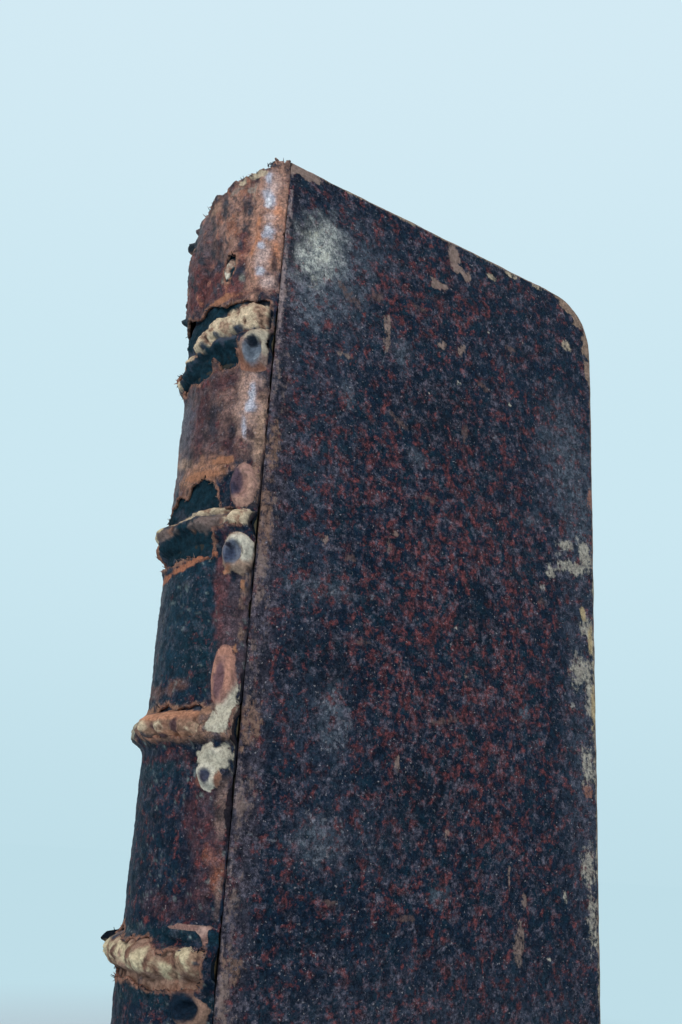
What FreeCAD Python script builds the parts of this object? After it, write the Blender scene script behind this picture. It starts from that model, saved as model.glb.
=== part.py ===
"""Antique leather book, standing on its tail, in millimetres.

The book is a tight-back binding. The pages are sewn on four cords that stay raised under the spine
leather, the cord ends are laced into two pasteboard covers, and worn calf covers spine and boards.
The leather is cracked through along both hinge lines, so the spine and each cover have their own piece.

Frame: +Z up, the front cover faces -Y, the spine is at -X. The origin is the middle of the base.
The spine is an arc about one vertical axis, so places on it are given by their distance round that arc
from the front hinge line and by their depth below the head.
"""

import FreeCAD, Part
import math
import os

from FreeCAD import Vector

# Whole book
book_height = 186.0
cover_width = 86.4  # hinge line to fore-edge
book_thickness = 32.0  # outside of the front cover to outside of the back cover
spine_round = 7.0  # how far the spine bulges past the hinge lines
square = 3.0  # how far the covers stand past the pages at head and tail
fore_square = 4.0  # the same at the fore-edge
corner_radius = 12.0  # the covers' worn corners

# Covers
cover_leather_thickness = 0.8
edge_round = 0.9  # rounding of the leather over the board's edges
board_thickness = 2.4
turn_in_thickness = 0.4
turn_in_width = 11.0
pastedown_thickness = 0.2
hinge_clearance = 0.15  # leather to the hinge line, on each side of it
board_setback = 0.5  # board's spine edge to the hinge line

# Pages
page_gap = 0.2  # closed cover to flyleaf
flyleaf_thickness = 0.2
fore_hollow = 4.6  # depth of the hollow fore-edge

# Spine
spine_leather_thickness = 0.7
lining_thickness = 0.3
lining_clearance = 0.1
lining_half_angle = 37.0
band_depths = (40.2, 75.4, 110.0, 145.6)  # below the head
band_rise = 2.1  # how far a band stands above the leather beside it
band_crest_radius = 2.8
band_foot_radius = 2.0
cord_clearance = 0.1
cord_half_angle = 38.0
cap_depth = 2.6  # how far the leather is folded in over the tail

# Laced ends of the cords
slip_length = 13.0
slip_width = 4.4
slip_thickness = 0.9
slip_hole_radius = 1.5
slip_hole_setback = 2.2  # hole centre to the slip's far end
slip_clearance = 0.05

# Endbands
endband_radius = 1.1
endband_half_angle = 33.0
endband_inset = 0.3  # endband to the back of the leather

# Derived places
half_thickness = book_thickness / 2
spine_reach = spine_round + band_rise
hinge_x = -(cover_width - spine_reach) / 2
fore_edge_x = hinge_x + cover_width
spine_radius = (half_thickness**2 + spine_round**2) / (2 * spine_round)
spine_centre_x = hinge_x - spine_round + spine_radius
spine_half_angle = math.degrees(math.asin(half_thickness / spine_radius))
leather_back_radius = spine_radius - spine_leather_thickness
page_radius = leather_back_radius - lining_clearance - lining_thickness
board_face = half_thickness - cover_leather_thickness
board_back = board_face - board_thickness
turn_in_back = board_back - turn_in_thickness
pastedown_back = turn_in_back - pastedown_thickness
flyleaf_face = pastedown_back - page_gap
page_half_thickness = flyleaf_face - flyleaf_thickness
page_fore_x = fore_edge_x - fore_square
page_bottom = square
page_top = book_height - square
band_heights = [book_height - depth for depth in band_depths]

# The tear in the spine leather over each raised cord, head to tail, as (distance round the spine, depth
# below the middle of its band), clockwise from the upper corner nearest the front cover.
torn_openings = (
    (
        (2.8, -8.7), (7.5, -10.0), (11.0, -9.4), (16.0, -11.2), (20.5, -9.7), (25.0, -11.6),
        (30.5, -9.2), (31.0, -4.2), (29.0, 1.8), (25.5, 5.2), (21.0, 3.8), (17.0, 5.6), (13.6, 4.8),
        (12.0, 2.4), (10.4, 4.4), (8.2, 4.0), (7.4, -2.6), (3.2, -2.8),
    ),
    (
        (2.6, -2.2), (7.2, -3.0), (9.4, -8.4), (12.2, -9.8), (15.0, -9.2), (17.2, -6.0), (20.0, -8.4),
        (24.5, -5.6), (30.5, -4.6), (31.2, -0.8), (30.0, 4.6), (22.0, 5.8), (14.0, 5.0), (8.6, 5.6),
        (8.0, 0.6), (3.0, 0.4),
    ),
    (
        (6.2, -2.6), (9.0, -3.8), (12.5, -2.4), (15.0, -4.0), (18.2, -2.8), (20.0, 0.2), (17.0, 2.4),
        (12.0, 1.8), (7.6, 2.0),
    ),
    (
        (4.4, -1.6), (9.0, -1.0), (13.0, -2.8), (18.0, -1.8), (24.0, -4.0), (29.6, -1.4), (30.4, 2.4),
        (25.0, 5.0), (18.0, 3.8), (12.0, 4.8), (5.0, 3.4),
    ),
)

# The torn line along the head, as (distance round the spine, depth below the head).
head_tear = (
    (-1.0, 0.0), (1.0, 0.3), (3.0, 0.2), (4.4, 1.3), (6.4, 1.6), (9.0, 2.4), (12.0, 2.1), (15.5, 3.2),
    (19.0, 2.7), (22.0, 3.8), (25.0, 3.0), (28.0, 4.2), (31.0, 2.6), (34.0, 1.6), (37.0, 0.0),
)

# Small torn spot in the top panel.
panel_hole = ((9.8, 20.2), (11.6, 18.8), (13.0, 20.0), (12.8, 24.6), (11.4, 25.6), (10.6, 23.4))

# Blisters and curled flaps of leather where each band meets the front hinge, head to tail, as (distance
# round the spine, depth below the middle of the band, half width, half height, rise above the leather).
curled_flaps = (
    ((4.9, 1.4, 2.4, 3.5, 1.5),),
    ((4.6, -7.4, 2.4, 4.2, 1.2), (4.2, 4.4, 3.0, 3.5, 2.4)),
    ((5.4, -8.4, 2.3, 5.0, 1.5), (5.4, 6.0, 3.2, 3.6, 1.7)),
    ((4.8, -4.0, 3.0, 1.6, 1.3), (4.6, 7.0, 2.6, 2.6, 1.3)),
)

# Where the leather of the top panel has come away and stands off the far half of the spine, written
# in the same way, but with its depth below the head.
lifted_leather = (27.0, 17.6, 8.0, 14.6, 2.2)

solids = {}


def box(x0, x1, y0, y1, z0, z1):
    return Part.makeBox(x1 - x0, y1 - y0, z1 - z0, Vector(x0, y0, z0))


def back_copy(shape):
    """The same piece on the other side of the book."""
    return shape.mirror(Vector(0, 0, 0), Vector(0, 1, 0))


def line(start, end):
    return Part.LineSegment(start, end).toShape()


def arc(start, middle, end):
    return Part.Arc(start, middle, end).toShape()


# Round pieces of the spine


def on_spine(radius, height):
    """A point of a spine profile, in the plane through the spine's axis."""
    return Vector(spine_centre_x - radius, 0, height)


def round_spine(edges, half_angle):
    """A closed profile swept round the spine's axis, by the same angle to each side."""
    face = Part.Face(Part.Wire(edges))
    axis_point = Vector(spine_centre_x, 0, 0)
    face.rotate(axis_point, Vector(0, 0, 1), -half_angle)
    return face.revolve(axis_point, Vector(0, 0, 1), 2 * half_angle)


def ring_sector(inner, outer, bottom, top, half_angle):
    corners = [
        on_spine(inner, bottom),
        on_spine(outer, bottom),
        on_spine(outer, top),
        on_spine(inner, top),
    ]
    edges = [line(corners[i], corners[(i + 1) % 4]) for i in range(4)]
    return round_spine(edges, half_angle)


def spine_angle(distance):
    """The angle about the spine's axis, from the middle of the spine, at a distance round it."""
    return distance / spine_radius - math.radians(spine_half_angle)


def torn_cutter(outline, start_depth):
    """A prism across the spine leather under a torn outline, whose depths count from start_depth."""
    points = [
        Vector(
            hinge_x,
            spine_radius * math.sin(spine_angle(distance)),
            book_height - start_depth - depth,
        )
        for distance, depth in outline
    ]
    face = Part.Face(Part.makePolygon(points + points[:1]))
    reach = spine_reach + cover_leather_thickness
    face.translate(Vector(-reach, 0, 0))
    return face.extrude(Vector(reach + spine_round, 0, 0))


# The profile of a raised band

crest_centre_radius = spine_radius + band_rise - band_crest_radius
foot_centre_radius = spine_radius + band_foot_radius
foot_offset = math.sqrt(
    (band_crest_radius + band_foot_radius) ** 2
    - (foot_centre_radius - crest_centre_radius) ** 2
)
cord_radius = band_crest_radius - spine_leather_thickness - cord_clearance
cord_half_width = math.sqrt(
    cord_radius**2 - (crest_centre_radius - page_radius) ** 2
)


def band_edges(height, base_radius, crest, foot):
    """Foot, crest and foot arcs of a band, upwards, for the skin that lies at base_radius beside it."""
    share = band_crest_radius / (band_crest_radius + band_foot_radius)
    tangent_radius = crest_centre_radius + share * (
        foot_centre_radius - crest_centre_radius
    )
    tangent_offset = share * foot_offset
    slope = math.atan2(
        tangent_offset, tangent_radius - crest_centre_radius
    )  # direction from the crest's centre to where the two arcs meet
    meet_radius = crest_centre_radius + crest * math.cos(slope)
    meet_offset = crest * math.sin(slope)
    half = slope / 2
    foot_mid_radius = foot_centre_radius - foot * math.cos(half)
    foot_mid_offset = foot_offset - foot * math.sin(half)
    low = on_spine(base_radius, height - foot_offset)
    meet_low = on_spine(meet_radius, height - meet_offset)
    high = on_spine(base_radius, height + foot_offset)
    meet_high = on_spine(meet_radius, height + meet_offset)
    return [
        arc(low, on_spine(foot_mid_radius, height - foot_mid_offset), meet_low),
        arc(meet_low, on_spine(crest_centre_radius + crest, height), meet_high),
        arc(meet_high, on_spine(foot_mid_radius, height + foot_mid_offset), high),
    ]


def banded_skin(base_radius, crest, foot, bottom, top):
    """The whole height of the spine's skin, from the tail up, with its bands."""
    edges = []
    level = bottom
    for height in sorted(band_heights):
        edges.append(
            line(
                on_spine(base_radius, level),
                on_spine(base_radius, height - foot_offset),
            )
        )
        edges += band_edges(height, base_radius, crest, foot)
        level = height + foot_offset
    edges.append(line(on_spine(base_radius, level), on_spine(base_radius, top)))
    return edges


def filled_skin(core_radius, base_radius, crest, foot, bottom):
    """A solid from a plain inner radius out to a banded skin, up to the head."""
    edges = banded_skin(base_radius, crest, foot, bottom, book_height)
    core_low = on_spine(core_radius, bottom)
    core_high = on_spine(core_radius, book_height)
    edges.append(line(on_spine(base_radius, book_height), core_high))
    edges.append(line(core_high, core_low))
    edges.append(line(core_low, on_spine(base_radius, bottom)))
    leather_angle = math.degrees(
        math.acos((spine_centre_x - hinge_x + hinge_clearance) / spine_radius)
    )
    return round_spine(edges, leather_angle)


def curled_flap(start_depth, distance, depth, half_width, half_height, rise):
    """A blister of leather: an ellipsoid seated in the spine, whose depth counts from start_depth."""
    blister = Part.makeSphere(1.0)
    scale = FreeCAD.Matrix()
    scale.scale(rise + spine_leather_thickness, half_width, half_height)
    blister = blister.transformGeometry(scale)
    angle = spine_angle(distance)
    blister.rotate(Vector(0, 0, 0), Vector(0, 0, 1), -math.degrees(angle))
    seat = leather_back_radius
    blister.translate(
        Vector(
            spine_centre_x - seat * math.cos(angle),
            seat * math.sin(angle),
            book_height - start_depth - depth,
        )
    )
    return blister


def spine_leather():
    cap_radius = page_radius - cap_depth
    skin = filled_skin(
        cap_radius, spine_radius, band_crest_radius, band_foot_radius, 0.0
    )
    skin = skin.fuse(curled_flap(0.0, *lifted_leather))
    for band_depth, flaps in zip(band_depths, curled_flaps):
        for flap in flaps:
            skin = skin.fuse(curled_flap(band_depth, *flap))
    hollow = filled_skin(
        cap_radius - spine_reach,
        leather_back_radius,
        band_crest_radius - spine_leather_thickness,
        band_foot_radius + spine_leather_thickness,
        spine_leather_thickness,
    )
    hollow_reach = half_thickness - spine_leather_thickness
    hollow_room = box(
        hinge_x - spine_reach,
        fore_edge_x,
        -hollow_reach,
        hollow_reach,
        0,
        book_height,
    )
    skin = skin.cut(hollow.common(hollow_room))
    head_outline = head_tear + (
        (head_tear[-1][0], -square),
        (head_tear[0][0], -square),
    )
    cutters = [torn_cutter(head_outline, 0.0), torn_cutter(panel_hole, 0.0)]
    cutters += [
        torn_cutter(outline, band_depth)
        for outline, band_depth in zip(torn_openings, band_depths)
    ]
    for cutter in cutters:
        skin = skin.cut(cutter)
    between_covers = box(
        hinge_x - spine_reach,
        hinge_x - hinge_clearance,
        -half_thickness,
        half_thickness,
        0,
        book_height,
    )
    return skin.common(between_covers)


def raised_cord(height):
    """A sewing cord that stands on the backs of the pages."""
    low = on_spine(page_radius, height - cord_half_width)
    high = on_spine(page_radius, height + cord_half_width)
    crest = on_spine(crest_centre_radius + cord_radius, height)
    return round_spine([arc(low, crest, high), line(high, low)], cord_half_angle)


def spine_linings():
    """Strips of paper pasted on the backs of the pages, one in each panel between the cords."""
    edge = cord_half_width + lining_clearance
    bottoms = [page_bottom] + [height + edge for height in sorted(band_heights)]
    tops = [height - edge for height in sorted(band_heights)] + [page_top]
    strips = [
        ring_sector(
            page_radius,
            page_radius + lining_thickness,
            bottom,
            top,
            lining_half_angle,
        )
        for bottom, top in zip(bottoms, tops)
    ]
    return Part.makeCompound(strips)


def endband(height):
    """A sewn endband on the pages' edge, just inside the spine leather."""
    radius = page_radius - endband_inset - endband_radius
    centre = on_spine(radius, height)
    circle = Part.Circle(centre, Vector(0, 1, 0), endband_radius).toShape()
    return round_spine([circle], endband_half_angle)


# Pages


def text_block():
    """The pages as one block, with a rounded back, square shoulders and a hollow fore-edge."""
    tip_y = math.sqrt(page_radius**2 - (spine_centre_x - hinge_x) ** 2)
    side_y = page_half_thickness
    front_tip = Vector(hinge_x, -tip_y, 0)
    back_tip = Vector(hinge_x, tip_y, 0)
    front_side = Vector(hinge_x, -side_y, 0)
    back_side = Vector(hinge_x, side_y, 0)
    front_fore = Vector(page_fore_x, -side_y, 0)
    back_fore = Vector(page_fore_x, side_y, 0)
    spine_middle = Vector(spine_centre_x - page_radius, 0, 0)
    hollow_middle = Vector(page_fore_x - fore_hollow, 0, 0)
    edges = [
        arc(front_tip, spine_middle, back_tip),
        line(back_tip, back_side),
        line(back_side, back_fore),
        arc(back_fore, hollow_middle, front_fore),
        line(front_fore, front_side),
        line(front_side, front_tip),
    ]
    face = Part.Face(Part.Wire(edges))
    face.translate(Vector(0, 0, page_bottom))
    return face.extrude(Vector(0, 0, page_top - page_bottom))


def front_flyleaf():
    return box(
        hinge_x + board_setback,
        page_fore_x,
        -flyleaf_face,
        -page_half_thickness,
        page_bottom,
        page_top,
    )


# The front cover. The back cover is its mirror image.


def cover_slab(start_x, inset, radius, face_y, back_y):
    """A slab with two rounded fore-edge corners, inset from the cover's edges."""
    right, low, high = fore_edge_x - inset, inset, book_height - inset
    lift = radius * (1 - math.cos(math.radians(45)))
    corners = [
        Vector(start_x, face_y, low),
        Vector(right - radius, face_y, low),
        Vector(right - lift, face_y, low + lift),
        Vector(right, face_y, low + radius),
        Vector(right, face_y, high - radius),
        Vector(right - lift, face_y, high - lift),
        Vector(right - radius, face_y, high),
        Vector(start_x, face_y, high),
    ]
    edges = [
        line(corners[0], corners[1]),
        arc(corners[1], corners[2], corners[3]),
        line(corners[3], corners[4]),
        arc(corners[4], corners[5], corners[6]),
        line(corners[6], corners[7]),
        line(corners[7], corners[0]),
    ]
    return Part.Face(Part.Wire(edges)).extrude(Vector(0, back_y - face_y, 0))


def rounded_slab(start_x, inset, radius, face_y, back_y, rounding):
    """A cover slab whose long edges are rounded, apart from those beside the hinge."""
    slab = cover_slab(start_x, inset, radius, face_y, back_y)
    edges = [
        edge
        for edge in slab.Edges
        if abs(edge.Vertexes[0].Y - edge.Vertexes[-1].Y) < 1e-6
        and max(vertex.X for vertex in edge.Vertexes) > start_x + 1e-6
    ]
    return slab.makeFillet(rounding, edges)


def slip_places():
    return [(hinge_x + board_setback, height) for height in band_heights]


def slip(start_x, height, clearance):
    """A cord's flattened end: a tongue on the board's face and a plug through the board."""
    half_width = slip_width / 2 + clearance
    tongue = box(
        start_x,
        start_x + slip_length + clearance,
        -board_face,
        -board_face + slip_thickness,
        height - half_width,
        height + half_width,
    )
    plug = Part.makeCylinder(
        slip_hole_radius + clearance,
        board_thickness,
        Vector(start_x + slip_length - slip_hole_setback, -board_face, height),
        Vector(0, 1, 0),
    )
    return tongue.fuse(plug).removeSplitter()


def front_board():
    board = cover_slab(
        hinge_x + board_setback,
        cover_leather_thickness,
        corner_radius - cover_leather_thickness,
        -board_face,
        -board_back,
    )
    for start_x, height in slip_places():
        board = board.cut(slip(start_x, height, slip_clearance))
    return board


def front_cord_slips():
    return Part.makeCompound([slip(x, height, 0.0) for x, height in slip_places()])


def front_cover_leather():
    start_x = hinge_x + hinge_clearance
    shell = rounded_slab(
        start_x, 0.0, corner_radius, -half_thickness, -turn_in_back, edge_round
    )
    board_room = cover_slab(
        start_x,
        cover_leather_thickness,
        corner_radius - cover_leather_thickness,
        -board_face,
        -board_back,
    )
    return shell.cut(board_room).cut(paper_window())


def paper_window():
    """The open middle of the cover's inside, between the turned-in edges of the leather."""
    inset = cover_leather_thickness + turn_in_width
    return box(
        hinge_x + hinge_clearance,
        fore_edge_x - inset,
        -board_back,
        -turn_in_back,
        inset,
        book_height - inset,
    )


def front_pastedown():
    """The paper on the cover's inside: a filling between the turn-ins, and a sheet over both."""
    inset = cover_leather_thickness + turn_in_width
    start_x = hinge_x + board_setback
    filling = box(
        start_x,
        fore_edge_x - inset,
        -board_back,
        -turn_in_back,
        inset,
        book_height - inset,
    )
    sheet = box(
        start_x,
        page_fore_x,
        -turn_in_back,
        -pastedown_back,
        page_bottom,
        page_top,
    )
    return filling.fuse(sheet).removeSplitter()


def build():
    solids["text_block"] = text_block()
    solids["front_flyleaf"] = front_flyleaf()
    solids["back_flyleaf"] = back_copy(front_flyleaf())
    for number, height in enumerate(band_heights, start=1):
        solids[f"raised_cord_{number}"] = raised_cord(height)
    solids["spine_linings"] = spine_linings()
    solids["spine_leather"] = spine_leather()
    solids["head_endband"] = endband(page_top + endband_radius)
    solids["tail_endband"] = endband(page_bottom - endband_radius)
    for side, place in (("front", lambda shape: shape), ("back", back_copy)):
        solids[f"{side}_board"] = place(front_board())
        solids[f"{side}_cord_slips"] = place(front_cord_slips())
        solids[f"{side}_cover_leather"] = place(front_cover_leather())
        solids[f"{side}_pastedown"] = place(front_pastedown())


def export():
    os.makedirs("parts", exist_ok=True)
    for name, shape in solids.items():
        shape.exportStep(f"parts/{name}.step")
        bounds = shape.BoundBox
        print(
            f"{name}: {len(shape.Solids)} solid, valid {shape.isValid()},"
            f" {shape.Volume:.0f} mm3, x {bounds.XMin:.2f} to {bounds.XMax:.2f},"
            f" y {bounds.YMin:.2f} to {bounds.YMax:.2f}, z {bounds.ZMin:.2f} to {bounds.ZMax:.2f}"
        )


build()
export()
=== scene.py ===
"""Dresses the antique leather book: worn calf on covers and spine, sewing cords, endbands and pages.

Lengths are in millimetres until a mesh is made. A place on the spine is (distance round it from the
front hinge line, depth below the head). A place on a cover is (distance from the hinge line, depth
below the head). Colours are written as sRGB, 0 to 255.
"""

import math
from collections import deque

import bpy
import numpy as np
from mathutils import Matrix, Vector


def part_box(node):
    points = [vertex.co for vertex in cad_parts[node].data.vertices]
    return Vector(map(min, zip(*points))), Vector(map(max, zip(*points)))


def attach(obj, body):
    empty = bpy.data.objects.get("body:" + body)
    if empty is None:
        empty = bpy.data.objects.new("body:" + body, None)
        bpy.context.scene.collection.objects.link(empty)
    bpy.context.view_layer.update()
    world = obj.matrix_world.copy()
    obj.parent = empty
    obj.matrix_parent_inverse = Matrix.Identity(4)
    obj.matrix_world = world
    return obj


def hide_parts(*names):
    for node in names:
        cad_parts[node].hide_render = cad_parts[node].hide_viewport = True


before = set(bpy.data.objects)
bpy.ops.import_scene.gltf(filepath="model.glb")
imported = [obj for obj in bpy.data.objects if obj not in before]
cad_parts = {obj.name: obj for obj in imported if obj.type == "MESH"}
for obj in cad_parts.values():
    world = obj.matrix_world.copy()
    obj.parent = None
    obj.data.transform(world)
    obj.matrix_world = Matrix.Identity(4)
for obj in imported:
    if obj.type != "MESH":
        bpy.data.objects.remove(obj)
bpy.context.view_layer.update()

MM = 0.001

# Sizes shared with the CAD solids
HINGE_CLEARANCE = 0.15
SPINE_ROUND = 7.0
LEATHER = 0.7
BAND_RISE = 2.1
BAND_CREST = 2.8
BAND_FOOT = 2.0
BAND_DEPTHS = (40.2, 75.4, 110.0, 145.6)
CORNER_RADIUS = 12.0
COVER_THICKNESS = 3.6
TURN_IN_WIDTH = 11.0
PAGE_GAP_RADIUS = 1.1  # leather's outside to the backs of the pages
CORD_RISE = 2.4  # a cord's crest above the backs of the pages
CORD_HALF_WIDTH = 2.0
ENDBAND_RADIUS = 1.1
ENDBAND_HALF_ANGLE = 33.0
FORE_HOLLOW = 4.6
EDGE_ROUND = 0.9  # the cover leather's rounded outer edge

cover_low, cover_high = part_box("front_cover_leather")
HINGE_X = cover_low.x / MM - HINGE_CLEARANCE
FORE_X = cover_high.x / MM
COVER_WIDTH = FORE_X - HINGE_X
HEIGHT = cover_high.z / MM
HALF = -cover_low.y / MM
RADIUS = (HALF**2 + SPINE_ROUND**2) / (2 * SPINE_ROUND)
AXIS_X = HINGE_X - SPINE_ROUND + RADIUS
HALF_ANGLE = math.asin(HALF / RADIUS)
ROUND_LENGTH = 2 * HALF_ANGLE * RADIUS

# The tear over each band, as (distance round, depth below the band's middle).
TORN_OPENINGS = (
    (
        (1.6, -8.7), (7.5, -10.0), (11.0, -9.4), (16.0, -11.2), (20.5, -9.7), (25.0, -11.6),
        (30.5, -9.2), (31.0, -4.2), (29.0, 1.8), (25.5, 5.2), (21.0, 3.8), (17.0, 5.6), (13.6, 4.8),
        (12.0, 2.4), (10.4, 4.4), (7.0, 4.0), (6.2, -2.2), (1.8, -2.6),
    ),
    (
        (2.4, -2.2), (7.2, -3.0), (9.4, -8.4), (12.2, -9.8), (15.0, -9.2), (17.2, -6.0), (20.0, -8.4),
        (24.5, -5.6), (30.5, -4.6), (31.2, -0.8), (30.0, 4.6), (22.0, 5.8), (14.0, 5.0), (8.6, 5.6),
        (7.6, 0.6), (2.6, 0.6),
    ),
    (
        (6.2, -2.6), (9.0, -3.8), (12.5, -2.4), (15.0, -4.0), (18.2, -2.8), (20.0, 0.2), (17.0, 2.4),
        (12.0, 1.8), (7.6, 2.0),
    ),
    (
        (2.2, -1.8), (9.0, -1.0), (13.0, -2.8), (18.0, -1.8), (24.0, -4.0), (29.6, -1.4), (30.4, 2.4),
        (25.0, 5.0), (18.0, 3.8), (12.0, 4.8), (2.6, 3.6),
    ),
)
PANEL_HOLE = ((9.8, 20.2), (11.6, 18.8), (13.0, 20.0), (12.8, 24.6), (11.4, 25.6), (10.6, 23.4))
HEAD_TEAR = (
    (-1.0, 0.0), (1.0, 0.3), (3.0, -0.4), (4.4, 1.3), (6.4, 1.6), (9.0, 2.4), (12.0, 2.1), (15.5, 3.2),
    (19.0, 2.7), (22.0, 3.8), (25.0, 3.0), (28.0, 4.2), (31.0, 2.6), (34.0, 1.6), (37.0, 0.0),
)

# Colours
NAVY = (15, 31, 48)
TEAL = (17, 42, 54)
SLATE = (58, 66, 80)
RUST = (106, 57, 57)
DARK_RUST = (46, 35, 42)
BROWN = (104, 86, 84)
TAN = (146, 126, 117)
PINK_TAN = (156, 112, 98)
CREAM = (190, 174, 150)
BONE = (202, 196, 182)
GREY_BLUE = (112, 122, 138)
GREY_GREEN = (170, 176, 170)
BLACK_BLUE = (8, 19, 30)
PAPER = (214, 196, 156)
FOXING = (150, 104, 60)
SKY_LOW = (191, 222, 232)
BLOTCH_NAVY = (8, 26, 43)
BLOTCH_GREEN = (12, 44, 56)
BLOOM = (106, 102, 114)
DUST = (156, 152, 156)
CRACK = (34, 40, 52)
# Painted highlight on the spine's shoulder ridge
PEARL_HIGHLIGHT = (164, 167, 180)
# Grey-blue haze on the cover's leather, and painted highlights
HAZE_AND_HIGHLIGHT = (104, 114, 124)
WORN_FORE = (182, 176, 162)


def linear(colour):
    """An sRGB colour, 0 to 255, as linear values."""
    share = np.array(colour, float) / 255
    return np.where(share <= 0.04045, share / 12.92, ((share + 0.055) / 1.055) ** 2.4)


# Noise and masks


def ease(low, high, value):
    """A smooth step from 0 at low to 1 at high."""
    share = np.clip((value - low) / (high - low), 0, 1)
    return share * share * (3 - 2 * share)


def lumps(u, v, size, seed):
    """Smooth noise from -1 to 1, with lumps about size wide."""
    cells = 256
    lattice = np.random.default_rng(seed).uniform(-1, 1, (cells, cells))
    x, y = np.asarray(u) / size, np.asarray(v) / size
    column, row = np.floor(x).astype(int), np.floor(y).astype(int)
    across, down = ease(0, 1, x - column), ease(0, 1, y - row)
    left, right = column % cells, (column + 1) % cells
    above, below = row % cells, (row + 1) % cells
    top = lattice[left, above] * (1 - across) + lattice[right, above] * across
    bottom = lattice[left, below] * (1 - across) + lattice[right, below] * across
    return top * (1 - down) + bottom * down


def rough(u, v, size, seed, layers=4):
    """Noise from about -1 to 1 with finer lumps on coarser ones."""
    total, weight = 0, 0
    for layer in range(layers):
        share = 0.6**layer
        total = total + share * lumps(u, v, size * 0.5**layer, seed + 17 * layer)
        weight += share
    return 1.6 * total / weight


def inside_distance(u, v, outline):
    """Distance to a closed outline: positive inside it and negative outside."""
    nearest = np.full(np.shape(u), np.inf)
    inside = np.zeros(np.shape(u), bool)
    for (u0, v0), (u1, v1) in zip(outline, outline[1:] + outline[:1]):
        du, dv = u1 - u0, v1 - v0
        share = np.clip(((u - u0) * du + (v - v0) * dv) / (du * du + dv * dv), 0, 1)
        nearest = np.minimum(nearest, np.hypot(u - u0 - share * du, v - v0 - share * dv))
        if dv:
            inside ^= ((v0 > v) != (v1 > v)) & (u < u0 + (v - v0) * du / dv)
    return np.where(inside, nearest, -nearest)


def line_distance(u, v, points):
    """Distance to an open line of points."""
    nearest = np.full(np.shape(u), np.inf)
    for (u0, v0), (u1, v1) in zip(points, points[1:]):
        du, dv = u1 - u0, v1 - v0
        share = np.clip(((u - u0) * du + (v - v0) * dv) / (du * du + dv * dv), 0, 1)
        nearest = np.minimum(nearest, np.hypot(u - u0 - share * du, v - v0 - share * dv))
    return nearest


def oval(u, v, place):
    """0 in the middle of an oval and 1 at its edge: place is centre, half sizes and tilt in degrees."""
    centre_u, centre_v, half_u, half_v = place[:4]
    tilt = math.radians(place[4]) if len(place) > 4 else 0
    du, dv = u - centre_u, v - centre_v
    along = du * math.cos(tilt) + dv * math.sin(tilt)
    across = dv * math.cos(tilt) - du * math.sin(tilt)
    return np.hypot(along / half_u, across / half_v)


class Paint:
    """Colours laid over a surface: a ground with its share of mottling, and scuffs with their cover."""

    def __init__(self, u, v, ground, mottling, seed):
        self.u, self.v, self.seed = u, v, seed
        self.ragged = rough(u, v, 1.7, seed) * 0.45
        self.ground = np.ones(u.shape + (4,)) * np.append(linear(ground), mottling)
        self.scuff = np.zeros(u.shape + (4,))
        self.scuff[..., :3] = linear(TAN)

    def tint(self, colour, cover, mottling=None):
        """Changes the ground's colour by a cover from 0 to 1."""
        cover = np.clip(cover, 0, 1)[..., None]
        if mottling is None:
            mottling = self.ground[..., 3].mean()
        value = np.append(linear(colour), mottling)
        self.ground = self.ground * (1 - cover) + value * cover

    def dye(self, colour, *places, mottling=None, soft=0.35, strength=1.0):
        """Changes the ground's colour in some ovals."""
        for place in places:
            edge = oval(self.u, self.v, place) + self.ragged
            self.tint(colour, strength * ease(1 + soft, 1 - soft, edge), mottling)

    def lay(self, colour, cover):
        """Lays a scuff's colour where it covers more than what is there."""
        cover = np.clip(cover, 0, 1)
        share = ease(-0.15, 0.15, cover - self.scuff[..., 3])[..., None]
        share = share * (cover > 0.02)[..., None]
        self.scuff[..., :3] = self.scuff[..., :3] * (1 - share) + linear(colour) * share
        self.scuff[..., 3] = np.maximum(self.scuff[..., 3], cover)

    def rub(self, colour, *places, cover=1.0, soft=0.35):
        """Scuffs some ovals."""
        for place in places:
            edge = oval(self.u, self.v, place) + self.ragged
            self.lay(colour, cover * ease(1 + soft, 1 - soft, edge))

    def cake(self, colour, cover):
        """Covers the surface with one colour, whatever was there."""
        cover = np.clip(cover, 0, 1)
        below = np.clip(self.scuff[..., 3], 0, 1) * (1 - cover)
        share = (cover / np.maximum(cover + below, 0.001))[..., None]
        self.scuff[..., :3] = self.scuff[..., :3] * (1 - share) + linear(colour) * share
        self.scuff[..., 3] = np.maximum(self.scuff[..., 3], 1.4 * cover)

    def daub(self, colour, *places, soft=0.2):
        """Covers some ovals with one colour."""
        for place in places:
            edge = oval(self.u, self.v, place) + 0.35 * self.ragged
            self.cake(colour, ease(1 + soft, 1 - soft, edge))

    def scratch(self, colour, *lines, width=0.5, cover=0.6):
        """Scuffs along some open lines."""
        for points in lines:
            away = line_distance(self.u, self.v, points) + 0.35 * self.ragged
            self.lay(colour, cover * ease(width, 0.2 * width, away))


# Meshes


def grid_faces(rows, columns, flip=False):
    index = np.arange(rows * columns).reshape(rows, columns)
    corners = [index[:-1, :-1], index[1:, :-1], index[1:, 1:], index[:-1, 1:]]
    faces = np.stack([corner.ravel() for corner in corners], axis=-1)
    return faces[:, ::-1] if flip else faces


def largest_part(faces, count):
    """The faces that hang together in the largest part."""
    touching = [[] for _ in range(count)]
    for number, face in enumerate(faces.tolist()):
        for corner in face:
            touching[corner].append(number)
    part = np.full(len(faces), -1)
    rows = faces.tolist()
    parts = 0
    for start in range(len(rows)):
        if part[start] >= 0:
            continue
        part[start] = parts
        queue = deque([start])
        while queue:
            for corner in rows[queue.popleft()]:
                for neighbour in touching[corner]:
                    if part[neighbour] < 0:
                        part[neighbour] = parts
                        queue.append(neighbour)
        parts += 1
    return faces[part == np.bincount(part).argmax()]


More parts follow.
